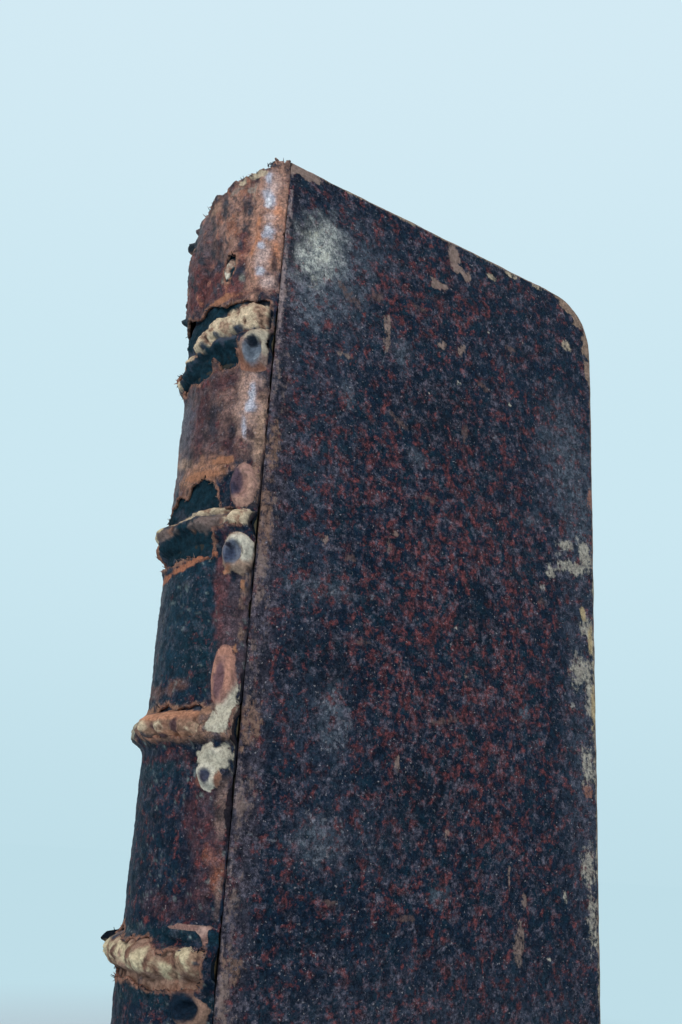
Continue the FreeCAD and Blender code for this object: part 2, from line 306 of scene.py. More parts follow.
def link_mesh(name, points, faces, material, colours, smooth=True):
    """A mesh object in the scene, from points in millimetres, with named colours at its points."""
    mesh = bpy.data.meshes.new(name)
    mesh.from_pydata((points * MM).tolist(), [], faces)
    for key, values in colours.items():
        layer = mesh.color_attributes.new(key, "FLOAT_COLOR", "POINT")
        layer.data.foreach_set("color", values.astype(np.float32).ravel())
    mesh.polygons.foreach_set("use_smooth", [smooth] * len(mesh.polygons))
    mesh.materials.append(material)
    mesh.update()
    piece = bpy.data.objects.new(name, mesh)
    bpy.context.scene.collection.objects.link(piece)
    return piece


def make_piece(name, points, faces, material, colours=None, smooth=True):
    """A mesh object from arrays of points and faces, without the points that no face uses."""
    used, index = np.unique(faces, return_inverse=True)
    points = points.reshape(-1, 3)[used]
    colours = {key: values.reshape(-1, 4)[used] for key, values in (colours or {}).items()}
    return link_mesh(name, points, index.reshape(faces.shape).tolist(), material, colours, smooth)


def thicken(piece, thickness):
    """Gives a sheet its thickness, on its inner side."""
    solid = piece.modifiers.new("thickness", "SOLIDIFY")
    solid.thickness = thickness * MM
    solid.offset = -1
    solid.use_rim = True


# Materials


def add(tree, kind, inputs=None, **settings):
    """A shader node, with its settings and inputs. An input that is a socket is linked."""
    made = tree.nodes.new(kind)
    for key, value in settings.items():
        setattr(made, key, value)
    for key, value in (inputs or {}).items():
        if isinstance(value, bpy.types.NodeSocket):
            tree.links.new(value, made.inputs[key])
        else:
            made.inputs[key].default_value = value
    return made


def calc(tree, operation, first, second=0.0, third=0.0):
    return add(tree, "ShaderNodeMath", {0: first, 1: second, 2: third}, operation=operation).outputs[0]


def smooth_step(tree, low, high, value):
    made = add(
        tree,
        "ShaderNodeMapRange",
        {"Value": value, "From Min": low, "From Max": high},
        interpolation_type="SMOOTHSTEP",
    )
    return made.outputs["Result"]


def mix(tree, share, first, second, blend="MIX"):
    """A colour mix: the first colour at share 0 and the second at 1."""
    made = add(tree, "ShaderNodeMix", data_type="RGBA", blend_type=blend)
    for socket, value in (("Factor_Float", share), ("A_Color", first), ("B_Color", second)):
        target = next(one for one in made.inputs if one.identifier == socket)
        if isinstance(value, bpy.types.NodeSocket):
            tree.links.new(value, target)
        else:
            target.default_value = value
    return next(one for one in made.outputs if one.identifier == "Result_Color")


def solid_colour(colour):
    return (*linear(colour), 1.0)


def object_millimetres(tree, stretch=(1, 1, 1), shift=(0, 0, 0)):
    coordinates = add(tree, "ShaderNodeTexCoord").outputs["Object"]
    scale = tuple(share / MM for share in stretch)
    mapped = add(tree, "ShaderNodeMapping", {"Vector": coordinates, "Scale": scale, "Location": shift})
    return mapped.outputs["Vector"]


def noise(tree, place, size, detail=5.0, roughness=0.6, distortion=0.0):
    inputs = {
        "Vector": place,
        "Scale": 1 / size,
        "Detail": detail,
        "Roughness": roughness,
        "Distortion": distortion,
    }
    return add(tree, "ShaderNodeTexNoise", inputs).outputs["Fac"]


def new_material(name):
    material = bpy.data.materials.new(name)
    material.use_nodes = True
    tree = material.node_tree
    shader = tree.nodes["Principled BSDF"]
    return material, tree, shader


def bump(tree, height, distance, strength=1.0, before=None):
    inputs = {"Height": height, "Distance": distance * MM, "Strength": strength}
    if before is not None:
        inputs["Normal"] = before
    return add(tree, "ShaderNodeBump", inputs).outputs["Normal"]


def mottled(tree, apart, ground, blotch_size, spread):
    """The mesh's ground colour with dark, green and rusty blotches, as strong as its mottling."""
    mottling = ground.outputs["Alpha"]
    dark = smooth_step(tree, 0.45, 0.55, noise(tree, apart, blotch_size, 7, 0.66, 0.3))
    dark = calc(tree, "MULTIPLY", dark, mottling)
    colour = mix(tree, dark, ground.outputs["Color"], solid_colour(BLOTCH_NAVY))
    green = smooth_step(tree, 0.5, 0.6, noise(tree, apart, 3.0, 5, 0.6))
    green = calc(tree, "MULTIPLY", green, calc(tree, "MULTIPLY", mottling, 0.6))
    colour = mix(tree, green, colour, solid_colour(BLOTCH_GREEN))
    level = calc(tree, "MULTIPLY_ADD", mottling, -0.14, 0.606)
    reddened = smooth_step(tree, -0.03, 0.06, calc(tree, "SUBTRACT", spread, level))
    tone = smooth_step(tree, 0.4, 0.6, noise(tree, apart, 1.1, 4, 0.6))
    rust = mix(tree, tone, solid_colour(DARK_RUST), solid_colour(RUST))
    return mix(tree, calc(tree, "MULTIPLY", reddened, 0.85), colour, rust)


def weathered(tree, colour, place, apart, grain, cracks, contrast):
    """A leather's colour with bloom, grain, dust and fine cracks."""
    bloom = smooth_step(tree, 0.49, 0.65, noise(tree, apart, 1.8, 8, 0.8))
    colour = mix(tree, calc(tree, "MULTIPLY", bloom, 0.6 * contrast), colour, solid_colour(BLOOM))
    shade = mix(tree, smooth_step(tree, 0.36, 0.64, grain), (0.28, 0.32, 0.4, 1), (2.0, 1.9, 1.85, 1))
    colour = mix(tree, contrast, colour, mix(tree, 1.0, colour, shade, "MULTIPLY"))
    dust = smooth_step(tree, 0.64, 0.71, noise(tree, place, 0.55, 3, 0.6))
    colour = mix(tree, calc(tree, "MULTIPLY", dust, 0.8 * contrast), colour, solid_colour(DUST))
    return mix(tree, calc(tree, "MULTIPLY_ADD", cracks, -0.5, 0.5), colour, solid_colour(BLACK_BLUE))


def scuff_cover(tree, place, scuff, broken):
    """How far the mesh's scuffs cover the leather, with gritty and streaky edges."""
    streaks = noise(tree, object_millimetres(tree, stretch=(1.6, 1.6, 0.5)), 0.9, 6, 0.75)
    specks = noise(tree, place, 0.9, 8, 0.75)
    grit = calc(tree, "MULTIPLY_ADD", streaks, 0.4, calc(tree, "MULTIPLY", specks, 0.6))
    grit = calc(tree, "SUBTRACT", grit, 0.5)
    worn = calc(tree, "MULTIPLY_ADD", grit, broken, scuff.outputs["Alpha"])
    return smooth_step(tree, 0.3, 0.72, worn)


def leather_material(name, seed, blotch_size, contrast, broken):
    """Mottled, cracked calf: the mesh's ground and scuff colours, broken up by noise."""
    material, tree, shader = new_material(name)
    place = object_millimetres(tree, shift=(seed, 2 * seed, 3 * seed))
    apart = object_millimetres(tree, shift=(7 * seed, 5 * seed, seed))
    ground = add(tree, "ShaderNodeAttribute", attribute_name="ground")
    scuff = add(tree, "ShaderNodeAttribute", attribute_name="scuff")
    blotch = noise(tree, place, blotch_size, 8, 0.7, 0.3)
    fleck = noise(tree, place, 0.7, 5, 0.7)
    grain = noise(tree, place, 0.8, 6, 0.8)
    pore_settings = {"Vector": place, "Scale": 1.7}
    pores = add(tree, "ShaderNodeTexVoronoi", pore_settings, feature="DISTANCE_TO_EDGE")
    cracks = smooth_step(tree, 0.0, 0.08, pores.outputs["Distance"])
    spread = calc(tree, "MULTIPLY_ADD", blotch, 0.75, calc(tree, "MULTIPLY", fleck, 0.25))

    colour = mottled(tree, apart, ground, blotch_size, spread)
    colour = weathered(tree, colour, place, apart, grain, cracks, contrast)
    cover = scuff_cover(tree, place, scuff, broken)
    tint = mix(tree, smooth_step(tree, 0.36, 0.64, grain), (0.6, 0.6, 0.62, 1), (1.2, 1.2, 1.2, 1))
    worn_colour = mix(tree, 1.0, scuff.outputs["Color"], tint, "MULTIPLY")
    colour = mix(tree, calc(tree, "MULTIPLY", cover, 0.92), colour, worn_colour)
    tree.links.new(colour, shader.inputs["Base Color"])

    dull = calc(tree, "MULTIPLY_ADD", cover, 0.2, calc(tree, "MULTIPLY_ADD", fleck, 0.3, 0.4))
    tree.links.new(dull, shader.inputs["Roughness"])
    shader.inputs["Specular IOR Level"].default_value = 0.05
    normal = bump(tree, grain, 0.4, 0.8 * contrast)
    normal = bump(tree, spread, 0.6, 0.6, normal)
    normal = bump(tree, cracks, 0.12, 0.7, normal)
    normal = bump(tree, cover, 0.14, 0.6, normal)
    tree.links.new(normal, shader.inputs["Normal"])
    return material


def fibre_material(name, dark_tone, size=0.7, tone=None):
    """Matt, hairy stuff, such as cord or torn leather, in one tone or in the mesh's ground colours."""
    material, tree, shader = new_material(name)
    place = object_millimetres(tree)
    if tone:
        base = solid_colour(tone)
    else:
        base = add(tree, "ShaderNodeAttribute", attribute_name="ground").outputs["Color"]
    grain = noise(tree, place, size, 8, 0.75, 0.4)
    spots = smooth_step(tree, 0.58, 0.68, noise(tree, place, 1.1, 7, 0.72, 0.6))
    shade = mix(tree, smooth_step(tree, 0.34, 0.66, grain), (0.6, 0.57, 0.56, 1), (1.3, 1.29, 1.27, 1))
    colour = mix(tree, 1.0, base, shade, "MULTIPLY")
    colour = mix(tree, calc(tree, "MULTIPLY", spots, 0.35), colour, solid_colour(dark_tone))
    # One-tone fibre, the hemp slips, gets painted shade and dirt towards the hinge crack
    colour = hinge_shade_and_dirt(tree, colour) if tone else colour
    tree.links.new(colour, shader.inputs["Base Color"])
    shader.inputs["Roughness"].default_value = 0.85
    shader.inputs["Specular IOR Level"].default_value = 0.08
    tree.links.new(bump(tree, grain, 0.6, 0.9), shader.inputs["Normal"])
    return material


def page_edge_material():
    """The cut edges of old leaves: thin lines along each leaf, browned and dusty."""
    material, tree, shader = new_material("page_edges")
    leaves = object_millimetres(tree, stretch=(0.05, 7.0, 0.05))
    lines = noise(tree, leaves, 1.0, 3, 0.6)
    stain = noise(tree, object_millimetres(tree), 14.0, 6, 0.6)
    leaf = smooth_step(tree, 0.35, 0.65, lines)
    colour = mix(tree, leaf, solid_colour((150, 122, 84)), solid_colour(PAPER))
    stained = calc(tree, "MULTIPLY", smooth_step(tree, 0.45, 0.75, stain), 0.55)
    colour = mix(tree, stained, colour, solid_colour(FOXING))
    tree.links.new(colour, shader.inputs["Base Color"])
    shader.inputs["Roughness"].default_value = 0.9
    tree.links.new(bump(tree, lines, 0.12, 0.7), shader.inputs["Normal"])
    return material


def browned_rim(tree, place):
    """How far a sheet is browned: 1 near a cover's edges and 0 in the middle, with an uneven border."""
    where = add(tree, "ShaderNodeSeparateXYZ", {"Vector": object_millimetres(tree)}).outputs
    from_tail = calc(tree, "MINIMUM", where["Z"], calc(tree, "SUBTRACT", HEIGHT, where["Z"]))
    from_hinge = calc(tree, "SUBTRACT", where["X"], HINGE_X)
    from_sides = calc(tree, "MINIMUM", from_hinge, calc(tree, "SUBTRACT", FORE_X, where["X"]))
    nearest = calc(tree, "MINIMUM", from_tail, from_sides)
    uneven = calc(tree, "MULTIPLY_ADD", noise(tree, place, 7.0, 6, 0.65), 14.0, nearest)
    return smooth_step(tree, 23.0, 11.0, uneven)


def paper_material(name, seed, tone, stain):
    """Laid rag paper with foxing spots and a browned rim."""
    material, tree, shader = new_material(name)
    place = object_millimetres(tree, shift=(seed, seed, seed))
    fibres = noise(tree, place, 0.8, 8, 0.75)
    cloud = noise(tree, place, 22.0, 5, 0.55)
    spots = smooth_step(tree, 0.66, 0.74, noise(tree, place, 3.2, 5, 0.6))
    laid = add(
        tree,
        "ShaderNodeTexWave",
        {"Vector": object_millimetres(tree), "Scale": 0.16, "Distortion": 0.6, "Detail": 2.0},
        bands_direction="Z",
    ).outputs["Fac"]
    colour = mix(tree, smooth_step(tree, 0.3, 0.75, cloud), solid_colour(tone), solid_colour(stain))
    colour = mix(tree, calc(tree, "MULTIPLY", spots, 0.7), colour, solid_colour(FOXING))
    colour = mix(tree, browned_rim(tree, place), colour, (0.72, 0.62, 0.48, 1), "MULTIPLY")
    shade = mix(tree, fibres, (0.82, 0.82, 0.82, 1), (1.12, 1.12, 1.12, 1))
    colour = mix(tree, 1.0, colour, shade, "MULTIPLY")
    tree.links.new(colour, shader.inputs["Base Color"])
    shader.inputs["Roughness"].default_value = 0.88
    shader.inputs["Specular IOR Level"].default_value = 0.2
    normal = bump(tree, fibres, 0.05, 0.5)
    tree.links.new(bump(tree, laid, 0.03, 0.35, normal), shader.inputs["Normal"])
    return material


def hinge_shade_and_dirt(tree, colour):
    """Darkens a colour towards the hinge line: painted shade in the crack, with the dirt that has worked
    into it.
    """
    place = add(tree, "ShaderNodeSeparateXYZ", {"Vector": object_millimetres(tree)})
    shade_and_dirt = smooth_step(tree, HINGE_X + 3.4, HINGE_X + 1.4, place.outputs["X"])
    return mix(tree, calc(tree, "MULTIPLY", shade_and_dirt, 0.93), colour, solid_colour((26, 24, 28)))


def board_material():
    """Pasteboard: grey-brown layers with a rough grain."""
    material, tree, shader = new_material("pasteboard")
    place = object_millimetres(tree)
    layers = noise(tree, object_millimetres(tree, stretch=(0.2, 4.0, 0.2)), 1.0, 5, 0.7)
    grain = noise(tree, place, 1.2, 8, 0.7)
    colour = mix(tree, layers, solid_colour((120, 96, 66)), solid_colour((172, 146, 104)))
    colour = mix(tree, calc(tree, "MULTIPLY", grain, 0.5), colour, solid_colour((96, 76, 54)))
    # Painted shade and dirt towards the hinge crack
    tree.links.new(hinge_shade_and_dirt(tree, colour), shader.inputs["Base Color"])
    shader.inputs["Roughness"].default_value = 0.92
    tree.links.new(bump(tree, grain, 0.3, 0.6), shader.inputs["Normal"])
    return material


# Shape of the spine


CREST_CENTRE = RADIUS + BAND_RISE - BAND_CREST
FOOT_CENTRE = RADIUS + BAND_FOOT
FOOT_OFFSET = math.sqrt((BAND_CREST + BAND_FOOT) ** 2 - (FOOT_CENTRE - CREST_CENTRE) ** 2)
MEET_OFFSET = FOOT_OFFSET * BAND_CREST / (BAND_CREST + BAND_FOOT)

# The lifted leather of the top panel, then the blisters and curls beside the front hinge, a dent in the
# third band and the flakes on the top panel's far side:
# (distance round, depth, half width, half depth, rise, dip in the middle).
# Each oval is also tilted by as many degrees as it rises, which hardly shows.
LIFTED = (27.0, 17.6, 8.0, 14.6, 2.2, 0.0)
CURLS = (
    (3.3, 41.8, 2.7, 3.9, 1.8, 1.7),
    (3.5, 68.2, 2.3, 4.2, 1.4, 1.0),
    (3.0, 80.9, 2.8, 3.6, 2.5, 1.3),
    (3.6, 101.8, 2.1, 4.9, 1.6, 0.2),
    (2.7, 108.2, 2.2, 4.6, 1.2, 0.0),
    (3.9, 116.4, 3.0, 3.7, 1.8, 0.4),
    (5.4, 141.4, 5.2, 1.5, 1.2, 0.0),
    (3.9, 152.2, 3.1, 2.6, 1.5, 1.3),
    (20.6, 110.0, 0.9, 2.8, -0.8, 0.0),
    (27.6, 5.8, 0.6, 0.6, 1.6, 0.0),
    (27.2, 10.4, 0.6, 1.5, 2.2, 0.0),
    (27.8, 18.6, 0.5, 0.5, 1.2, 0.0),
    (27.8, 23.6, 0.6, 0.7, 1.6, 0.0),
    (27.6, 27.6, 0.8, 0.6, 1.8, 0.0),
)


def band_rise(depth):
    """How far the raised bands stand out at a depth."""
    rise = np.zeros(np.shape(depth))
    for middle in BAND_DEPTHS:
        away = np.abs(depth - middle)
        crest = CREST_CENTRE + np.sqrt(np.maximum(BAND_CREST**2 - away**2, 0))
        foot = FOOT_CENTRE - np.sqrt(np.maximum(BAND_FOOT**2 - (FOOT_OFFSET - away) ** 2, 0))
        radius = np.where(away < MEET_OFFSET, crest, np.where(away < FOOT_OFFSET, foot, RADIUS))
        rise = np.maximum(rise, radius - RADIUS)
    return rise


def strand_noise(distance, depth):
    """Noise drawn out into slanting strands."""
    return rough(distance + 0.35 * depth, depth * 0.45, 1.3, 34, 3)


def spine_rise(distance, depth):
    """How far the worn spine leather stands out from the plain round of the spine."""
    lumpy = rough(distance, depth, 3.4, 5)
    fine = rough(distance, depth, 1.2, 31, 3)
    strands = strand_noise(distance, depth)
    wave = lumps(distance * 0.7, depth, 7.0, 8)
    rise = band_rise(depth + 0.5 * wave) * (1 + 0.08 * lumpy)
    shoulder = np.exp(-(((distance - 4.3 - 0.5 * wave) / 2.1) ** 4))
    between_bands = 1 - 0.7 * ease(0.2, 1.2, band_rise(depth))
    rise += 0.6 * shoulder * (0.75 + 0.5 * lumpy) * between_bands
    rise -= 0.25 * np.exp(-(((distance - 7.4 - 0.6 * wave) / 0.8) ** 2)) * between_bands
    rise += 0.2 * lumpy + 0.08 * fine
    third_band = np.exp(-(((depth - BAND_DEPTHS[2]) / 3.0) ** 4))
    rise += third_band * (0.35 * rough(distance, depth, 2.0, 38) + 0.2 * fine)
    rise += ease(32, 28, depth) * (0.08 * lumpy + 0.14 * strands)
    edge = oval(distance, depth, LIFTED) + 0.05 * lumpy
    rise += LIFTED[4] * np.sqrt(np.clip(1 - edge**2, 0, 1)) * (1 + 0.05 * fine + 0.08 * lumpy)
    for curl in CURLS:
        edge = oval(distance, depth, curl) + 0.05 * lumpy + 0.03 * fine
        raised = curl[4] * (1 + 0.1 * lumpy) * ease(1.12, 0.66, edge) - curl[5] * ease(0.64, 0.3, edge)
        sunk = 0.6 if curl[4] > 0 else 0.0
        rise = rise * (1 - sunk * ease(1.1, 0.7, edge)) + raised
    worn_thin = 0.7 * np.exp(-((distance / 0.9) ** 2))
    worn_thin += 0.5 * np.exp(-(((ROUND_LENGTH - distance) / 0.8) ** 2))
    return rise - worn_thin


def spine_hole(distance, depth):
    """Distance inside the nearest tear or past the head's edge: positive where the leather is gone."""
    ragged = 0.42 * rough(distance, depth, 2.4, 71) + 0.2 * lumps(distance, depth, 0.7, 72)
    head = np.interp(distance, *zip(*HEAD_TEAR)) - depth + 0.5 * lumps(
        distance * 1.6, depth * 0.2, 1.0, 73,
    )
    hole = np.maximum(head, inside_distance(distance, depth, PANEL_HOLE))
    for outline, middle in zip(TORN_OPENINGS, BAND_DEPTHS):
        moved = tuple((one[0], one[1] + middle) for one in outline)
        hole = np.maximum(hole, inside_distance(distance, depth, moved))
    return hole + ragged


# Depths below the head, and the width of the crack along the hinges there
CRACK_WIDTHS = (
    (0, 28, 36, 60, 72, 84, 98, 112, 130, 146, 156, 186),
    (0.1, 0.1, 0.35, 0.15, 0.3, 0.35, 0.2, 0.4, 0.2, 0.35, 0.3, 0.2),
)


def spine_points(distance, depth, radius):
    """Points at a radius from the spine's axis, kept between the planes of the covers' faces."""
    angle = distance / RADIUS - HALF_ANGLE
    x = AXIS_X - radius * np.cos(angle)
    y = np.clip(radius * np.sin(angle), -HALF, HALF)
    return np.stack([np.minimum(x, HINGE_X - HINGE_CLEARANCE), y, HEIGHT - depth], axis=-1)


# Colours on the curls and blisters, laid one over the other
CURL_PAINT = (
    ((152, 128, 118), (3.3, 41.8, 2.6, 3.8)),
    ((176, 166, 148), (3.0, 39.2, 2.2, 1.2), (1.4, 41.4, 0.7, 2.0)),
    ((142, 100, 84), (3.8, 45.0, 2.4, 0.9, -8), (6.0, 43.4, 0.6, 1.6)),
    ((104, 116, 130), (3.5, 42.4, 1.6, 2.6, 8)),
    ((134, 146, 158), (3.0, 43.2, 0.6, 1.2)),
    ((40, 50, 62), (3.8, 40.4, 0.9, 0.9)),
    ((160, 126, 116), (3.3, 68.0, 2.2, 4.2)),
    ((186, 148, 132), (2.0, 68.6, 0.5, 2.6), (3.0, 71.4, 1.0, 0.7)),
    ((92, 76, 88), (4.6, 67.6, 1.1, 2.8, 4)),
    ((62, 60, 78), (4.8, 69.0, 0.6, 1.1)),
    ((170, 144, 126), (3.0, 80.9, 2.8, 3.6)),
    ((206, 200, 184), (2.8, 78.6, 1.9, 1.1), (1.2, 80.4, 0.8, 2.0)),
    ((182, 128, 100), (4.4, 83.6, 1.2, 0.5, 20), (5.4, 81.0, 0.3, 1.6)),
    ((106, 114, 130), (3.6, 81.1, 1.5, 2.2, 6)),
    ((60, 70, 92), (3.9, 81.4, 0.8, 1.4)),
    ((30, 34, 48), (4.0, 79.6, 0.4, 0.5)),
    ((156, 116, 106), (3.6, 101.8, 2.0, 4.8)),
    ((184, 136, 118), (2.4, 101.2, 0.5, 3.4), (3.6, 97.8, 1.2, 0.8), (5.0, 101.6, 0.4, 3.0)),
    ((112, 84, 88), (3.9, 102.6, 0.8, 3.0)),
    ((204, 198, 182), (4.5, 118.0, 1.7, 2.2, 10)),
    ((58, 64, 82), (4.6, 118.0, 0.9, 1.3, 10)),
    ((148, 108, 90), (2.6, 118.4, 0.5, 1.3, -14)),
    ((96, 74, 76), (20.6, 110.3, 0.5, 1.2)),
    ((150, 116, 108), (5.0, 140.7, 3.6, 0.36, 2), (2.3, 141.6, 0.5, 1.2)),
    ((176, 146, 136), (2.6, 141.0, 0.8, 0.7)),
    ((150, 120, 104), (3.7, 152.4, 2.9, 2.4)),
    ((22, 38, 54), (5.0, 151.8, 2.9, 2.1)),
)
# Depths below the head, and how strongly painted shade darkens the spine leather's front edge at the hinge
# crack there
FURROW_SHADE = (
    (0, 34, 40, 46, 62, 66, 80, 88, 100, 104, 124, 130), (0, 0, 1, 0.3, 0.3, 0.8, 1, 0.3, 0.3, 1, 1, 0.2),
)


def dye_head_panel(paint):
    """Browned, fibrous leather above the first band, with painted highlights on its raised strands and
    painted shade in the gaps between them.
    """
    strands = strand_noise(paint.u, paint.v)
    head_panel = ease(32, 28, paint.v)
    paint.dye((98, 80, 77), (18, 14, 40, 17), mottling=0.3, soft=0.12)
    paint.dye((150, 116, 102), (11.4, 12, 4.4, 9), (18, 8, 3, 5), mottling=0.15, soft=0.5)
    paint.dye(
        (96, 58, 56), (15, 24.6, 12, 4), (26, 20, 9, 6), (8, 18, 2.4, 4), (8, 28, 6, 1.4),
        mottling=0.3,
    )
    paint.dye(
        (86, 76, 80), (24, 8, 8, 4, -20), (28, 14, 4, 3), (20, 14, 2, 4),
        mottling=0.2, strength=0.7,
    )
    # Painted highlights: orange on the tops of the raised strands, from the same noise as their relief
    paint.tint((150, 100, 80), head_panel * 0.7 * ease(0.3, 0.7, strands), 0.1)
    # Painted shade: dark blue-grey in the gaps between the raised strands
    strand_gap_shade = ease(-0.3, -0.6, strands) * ease(6, 8, paint.u)
    paint.tint((40, 52, 60), head_panel * 0.8 * strand_gap_shade, 0.1)
    paint.dye(
        CRACK, (8.4, 8.6, 0.7, 2.8, 6), (15.6, 14.8, 1.4, 1.2), (15.4, 20.6, 2.8, 1.1, 14),
        mottling=0.1, strength=0.8, soft=0.6,
    )
    paint.dye(CRACK, (8.6, 23.6, 1.5, 1.8, 30), mottling=0.1, strength=0.9, soft=0.5)
    paint.dye(
        (120, 128, 120), (7.2, 6.0, 0.5, 2.0), (12.8, 24.4, 0.9, 0.9), (8.4, 25.2, 0.7, 0.8),
        mottling=0.1, strength=0.7,
    )
    paint.dye(
        (24, 46, 54), (27.0, 10.4, 1.4, 2.4), (27.6, 18.6, 1.0, 1.0), (27.8, 27.6, 1.6, 1.2),
        mottling=0.1, strength=0.9,
    )


def dye_second_panel(paint):
    paint.dye((92, 72, 70), (18, 54, 40, 12), mottling=0.35, soft=0.15)
    paint.dye((112, 88, 82), (8, 51, 3.4, 5), (24, 56, 5, 4), mottling=0.2, soft=0.5)
    paint.dye(
        (78, 50, 52), (15.4, 54, 1.6, 7), (6, 60, 2.4, 2.4), (10, 47, 4, 1.4),
        mottling=0.3, strength=0.85, soft=0.6,
    )
    paint.dye(SLATE, (22, 53, 4, 6), (27, 50, 3, 5), (2.0, 47.4, 1.3, 2.0), mottling=0.2, strength=0.7)
    paint.dye(
        CRACK, (11.4, 55, 1.1, 3.4, 6), (7.0, 56.8, 1.0, 1.4), (19.4, 61, 2.0, 0.8, 35),
        mottling=0.1, strength=0.75, soft=0.6,
    )
    paint.dye(
        (146, 108, 88), (12, 63.8, 5.6, 2.2), (17.6, 65.4, 2.6, 2.4), (5.0, 47, 0.8, 3),
        mottling=0.1, soft=0.5,
    )
    paint.dye((158, 130, 112), (1.4, 60, 1.0, 9), (24, 60, 8, 1.0, -14), mottling=0.15, soft=0.5)


def dye_lower_panels(paint):
    """The panels below the second band, and the third band itself."""
    paint.dye((20, 44, 58), (15, 93, 40, 12.5), mottling=0.1, soft=0.12)
    paint.dye((58, 58, 68), (26, 92, 5, 10), mottling=0.2, strength=0.6)
    paint.dye((96, 56, 58), (5.4, 91, 1.7, 11), mottling=0.3, soft=0.3)
    paint.dye((104, 74, 66), (24, 103.8, 10, 1.2), (13, 103, 3, 1.0), mottling=0.2, strength=0.8)
    paint.dye((138, 108, 92), (14, 109.6, 30, 3.2), mottling=0.15, soft=0.2)
    paint.dye(
        (72, 60, 76), (9.2, 110.8, 1.2, 1.0), (14.4, 110.2, 0.9, 1.5), (20.0, 110.4, 0.9, 1.5),
        (17, 108.4, 1.0, 0.5),
        mottling=0.1,
    )
    paint.dye((18, 34, 50), (15, 127, 40, 13.5), mottling=0.45, soft=0.12)
    paint.dye((84, 66, 70), (3, 94, 3, 12), (3, 127, 2.4, 10), mottling=0.3, strength=0.8, soft=0.5)
    paint.dye(
        (70, 47, 52), (4.6, 128, 2.4, 9), (11, 138.2, 4.6, 1.8), (12, 115.6, 5, 1.2), (7, 124, 2, 3),
        mottling=0.6, strength=0.8, soft=0.6,
    )
    paint.dye(
        (142, 88, 68), (1.7, 132.8, 1.0, 3.0), (5.8, 118.4, 1.4, 1.0), (3.4, 130, 0.8, 1.2),
        mottling=0.3, strength=0.85, soft=0.6,
    )
    paint.dye(
        (126, 104, 96), (1.8, 122.4, 0.9, 4.6), (1.2, 136, 0.6, 3),
        mottling=0.2, strength=0.8, soft=0.5,
    )
    paint.dye(
        TEAL, (16, 142.0, 30, 1.2), (14, 151, 30, 1.6), (9, 98, 3.6, 6), (18, 117, 8, 1.2),
        mottling=0.25,
    )


def dye_shoulder(paint):
    """Pale wear where the spine turns towards the front hinge, with painted highlights on the shoulder's
    ridge.
    """
    paint.dye(
        (160, 124, 108), (2.8, 13, 3.0, 14), (5.6, 21, 2.0, 9), (5.8, 9, 1.6, 6),
        mottling=0.05, soft=0.6,
    )
    paint.dye(
        (186, 128, 98), (2.0, 12.4, 1.2, 1.6), (1.7, 20.8, 0.8, 2.4), (5.4, 17.6, 0.8, 1.4),
        mottling=0.0, soft=0.6,
    )
    paint.dye(
        (176, 154, 148), (3.6, 6.0, 1.6, 3.0), (4.2, 21.4, 1.4, 2.6), (3.0, 12.8, 1.4, 1.4),
        (2.6, 27, 1.4, 1.4),
        mottling=0.0, soft=0.7,
    )
    # Painted highlights: pale blue-grey spots where the shoulder's ridge catches the light
    paint.dye(
        PEARL_HIGHLIGHT, (3.8, 8.8, 1.0, 2.4, 10), (3.1, 16.2, 1.4, 1.9), (4.6, 19.0, 0.8, 0.8),
        (4.2, 4.0, 0.7, 1.4), (4.2, 24.8, 0.9, 1.2, 20),
        mottling=0.0, soft=0.4,
    )
    # Painted highlights: the brightest centres of those spots
    paint.dye(
        (194, 198, 206), (3.9, 9.6, 0.5, 0.9), (3.6, 15.4, 0.6, 0.7), (4.1, 24.4, 0.4, 0.4),
        mottling=0.0, soft=0.5,
    )
    # Painted shade: the dark line at (1.7, 22.6) stands for the shaded gap between the leather's edge and
    # the seam; the one at (9.4, 9.6) is a dark patch in the leather
    paint.dye(
        (36, 38, 46), (1.7, 22.6, 0.5, 2.8, 4), (9.4, 9.6, 0.5, 2.4, 6),
        mottling=0.0, soft=0.5, strength=0.85,
    )
    paint.dye(
        (176, 118, 84), (5.6, 14.0, 0.8, 1.8), (2.2, 12.0, 0.8, 0.8), (6.4, 19.6, 0.6, 1.4),
        mottling=0.0, soft=0.6, strength=0.7,
    )
    paint.dye((164, 136, 124), (4.4, 52, 2.2, 7), mottling=0.05, soft=0.6)
    # Painted highlights on the shoulder below the first band, with their brightest centres next
    paint.dye(
        PEARL_HIGHLIGHT, (3.4, 50.2, 0.7, 1.6), (3.6, 53.0, 0.9, 1.4), (4.3, 57.0, 0.5, 1.9, 8),
        mottling=0.0, soft=0.4,
    )
    paint.dye((172, 176, 186), (3.3, 50.4, 0.35, 1.0), (3.9, 53.2, 0.3, 0.6), mottling=0.0, soft=0.5)


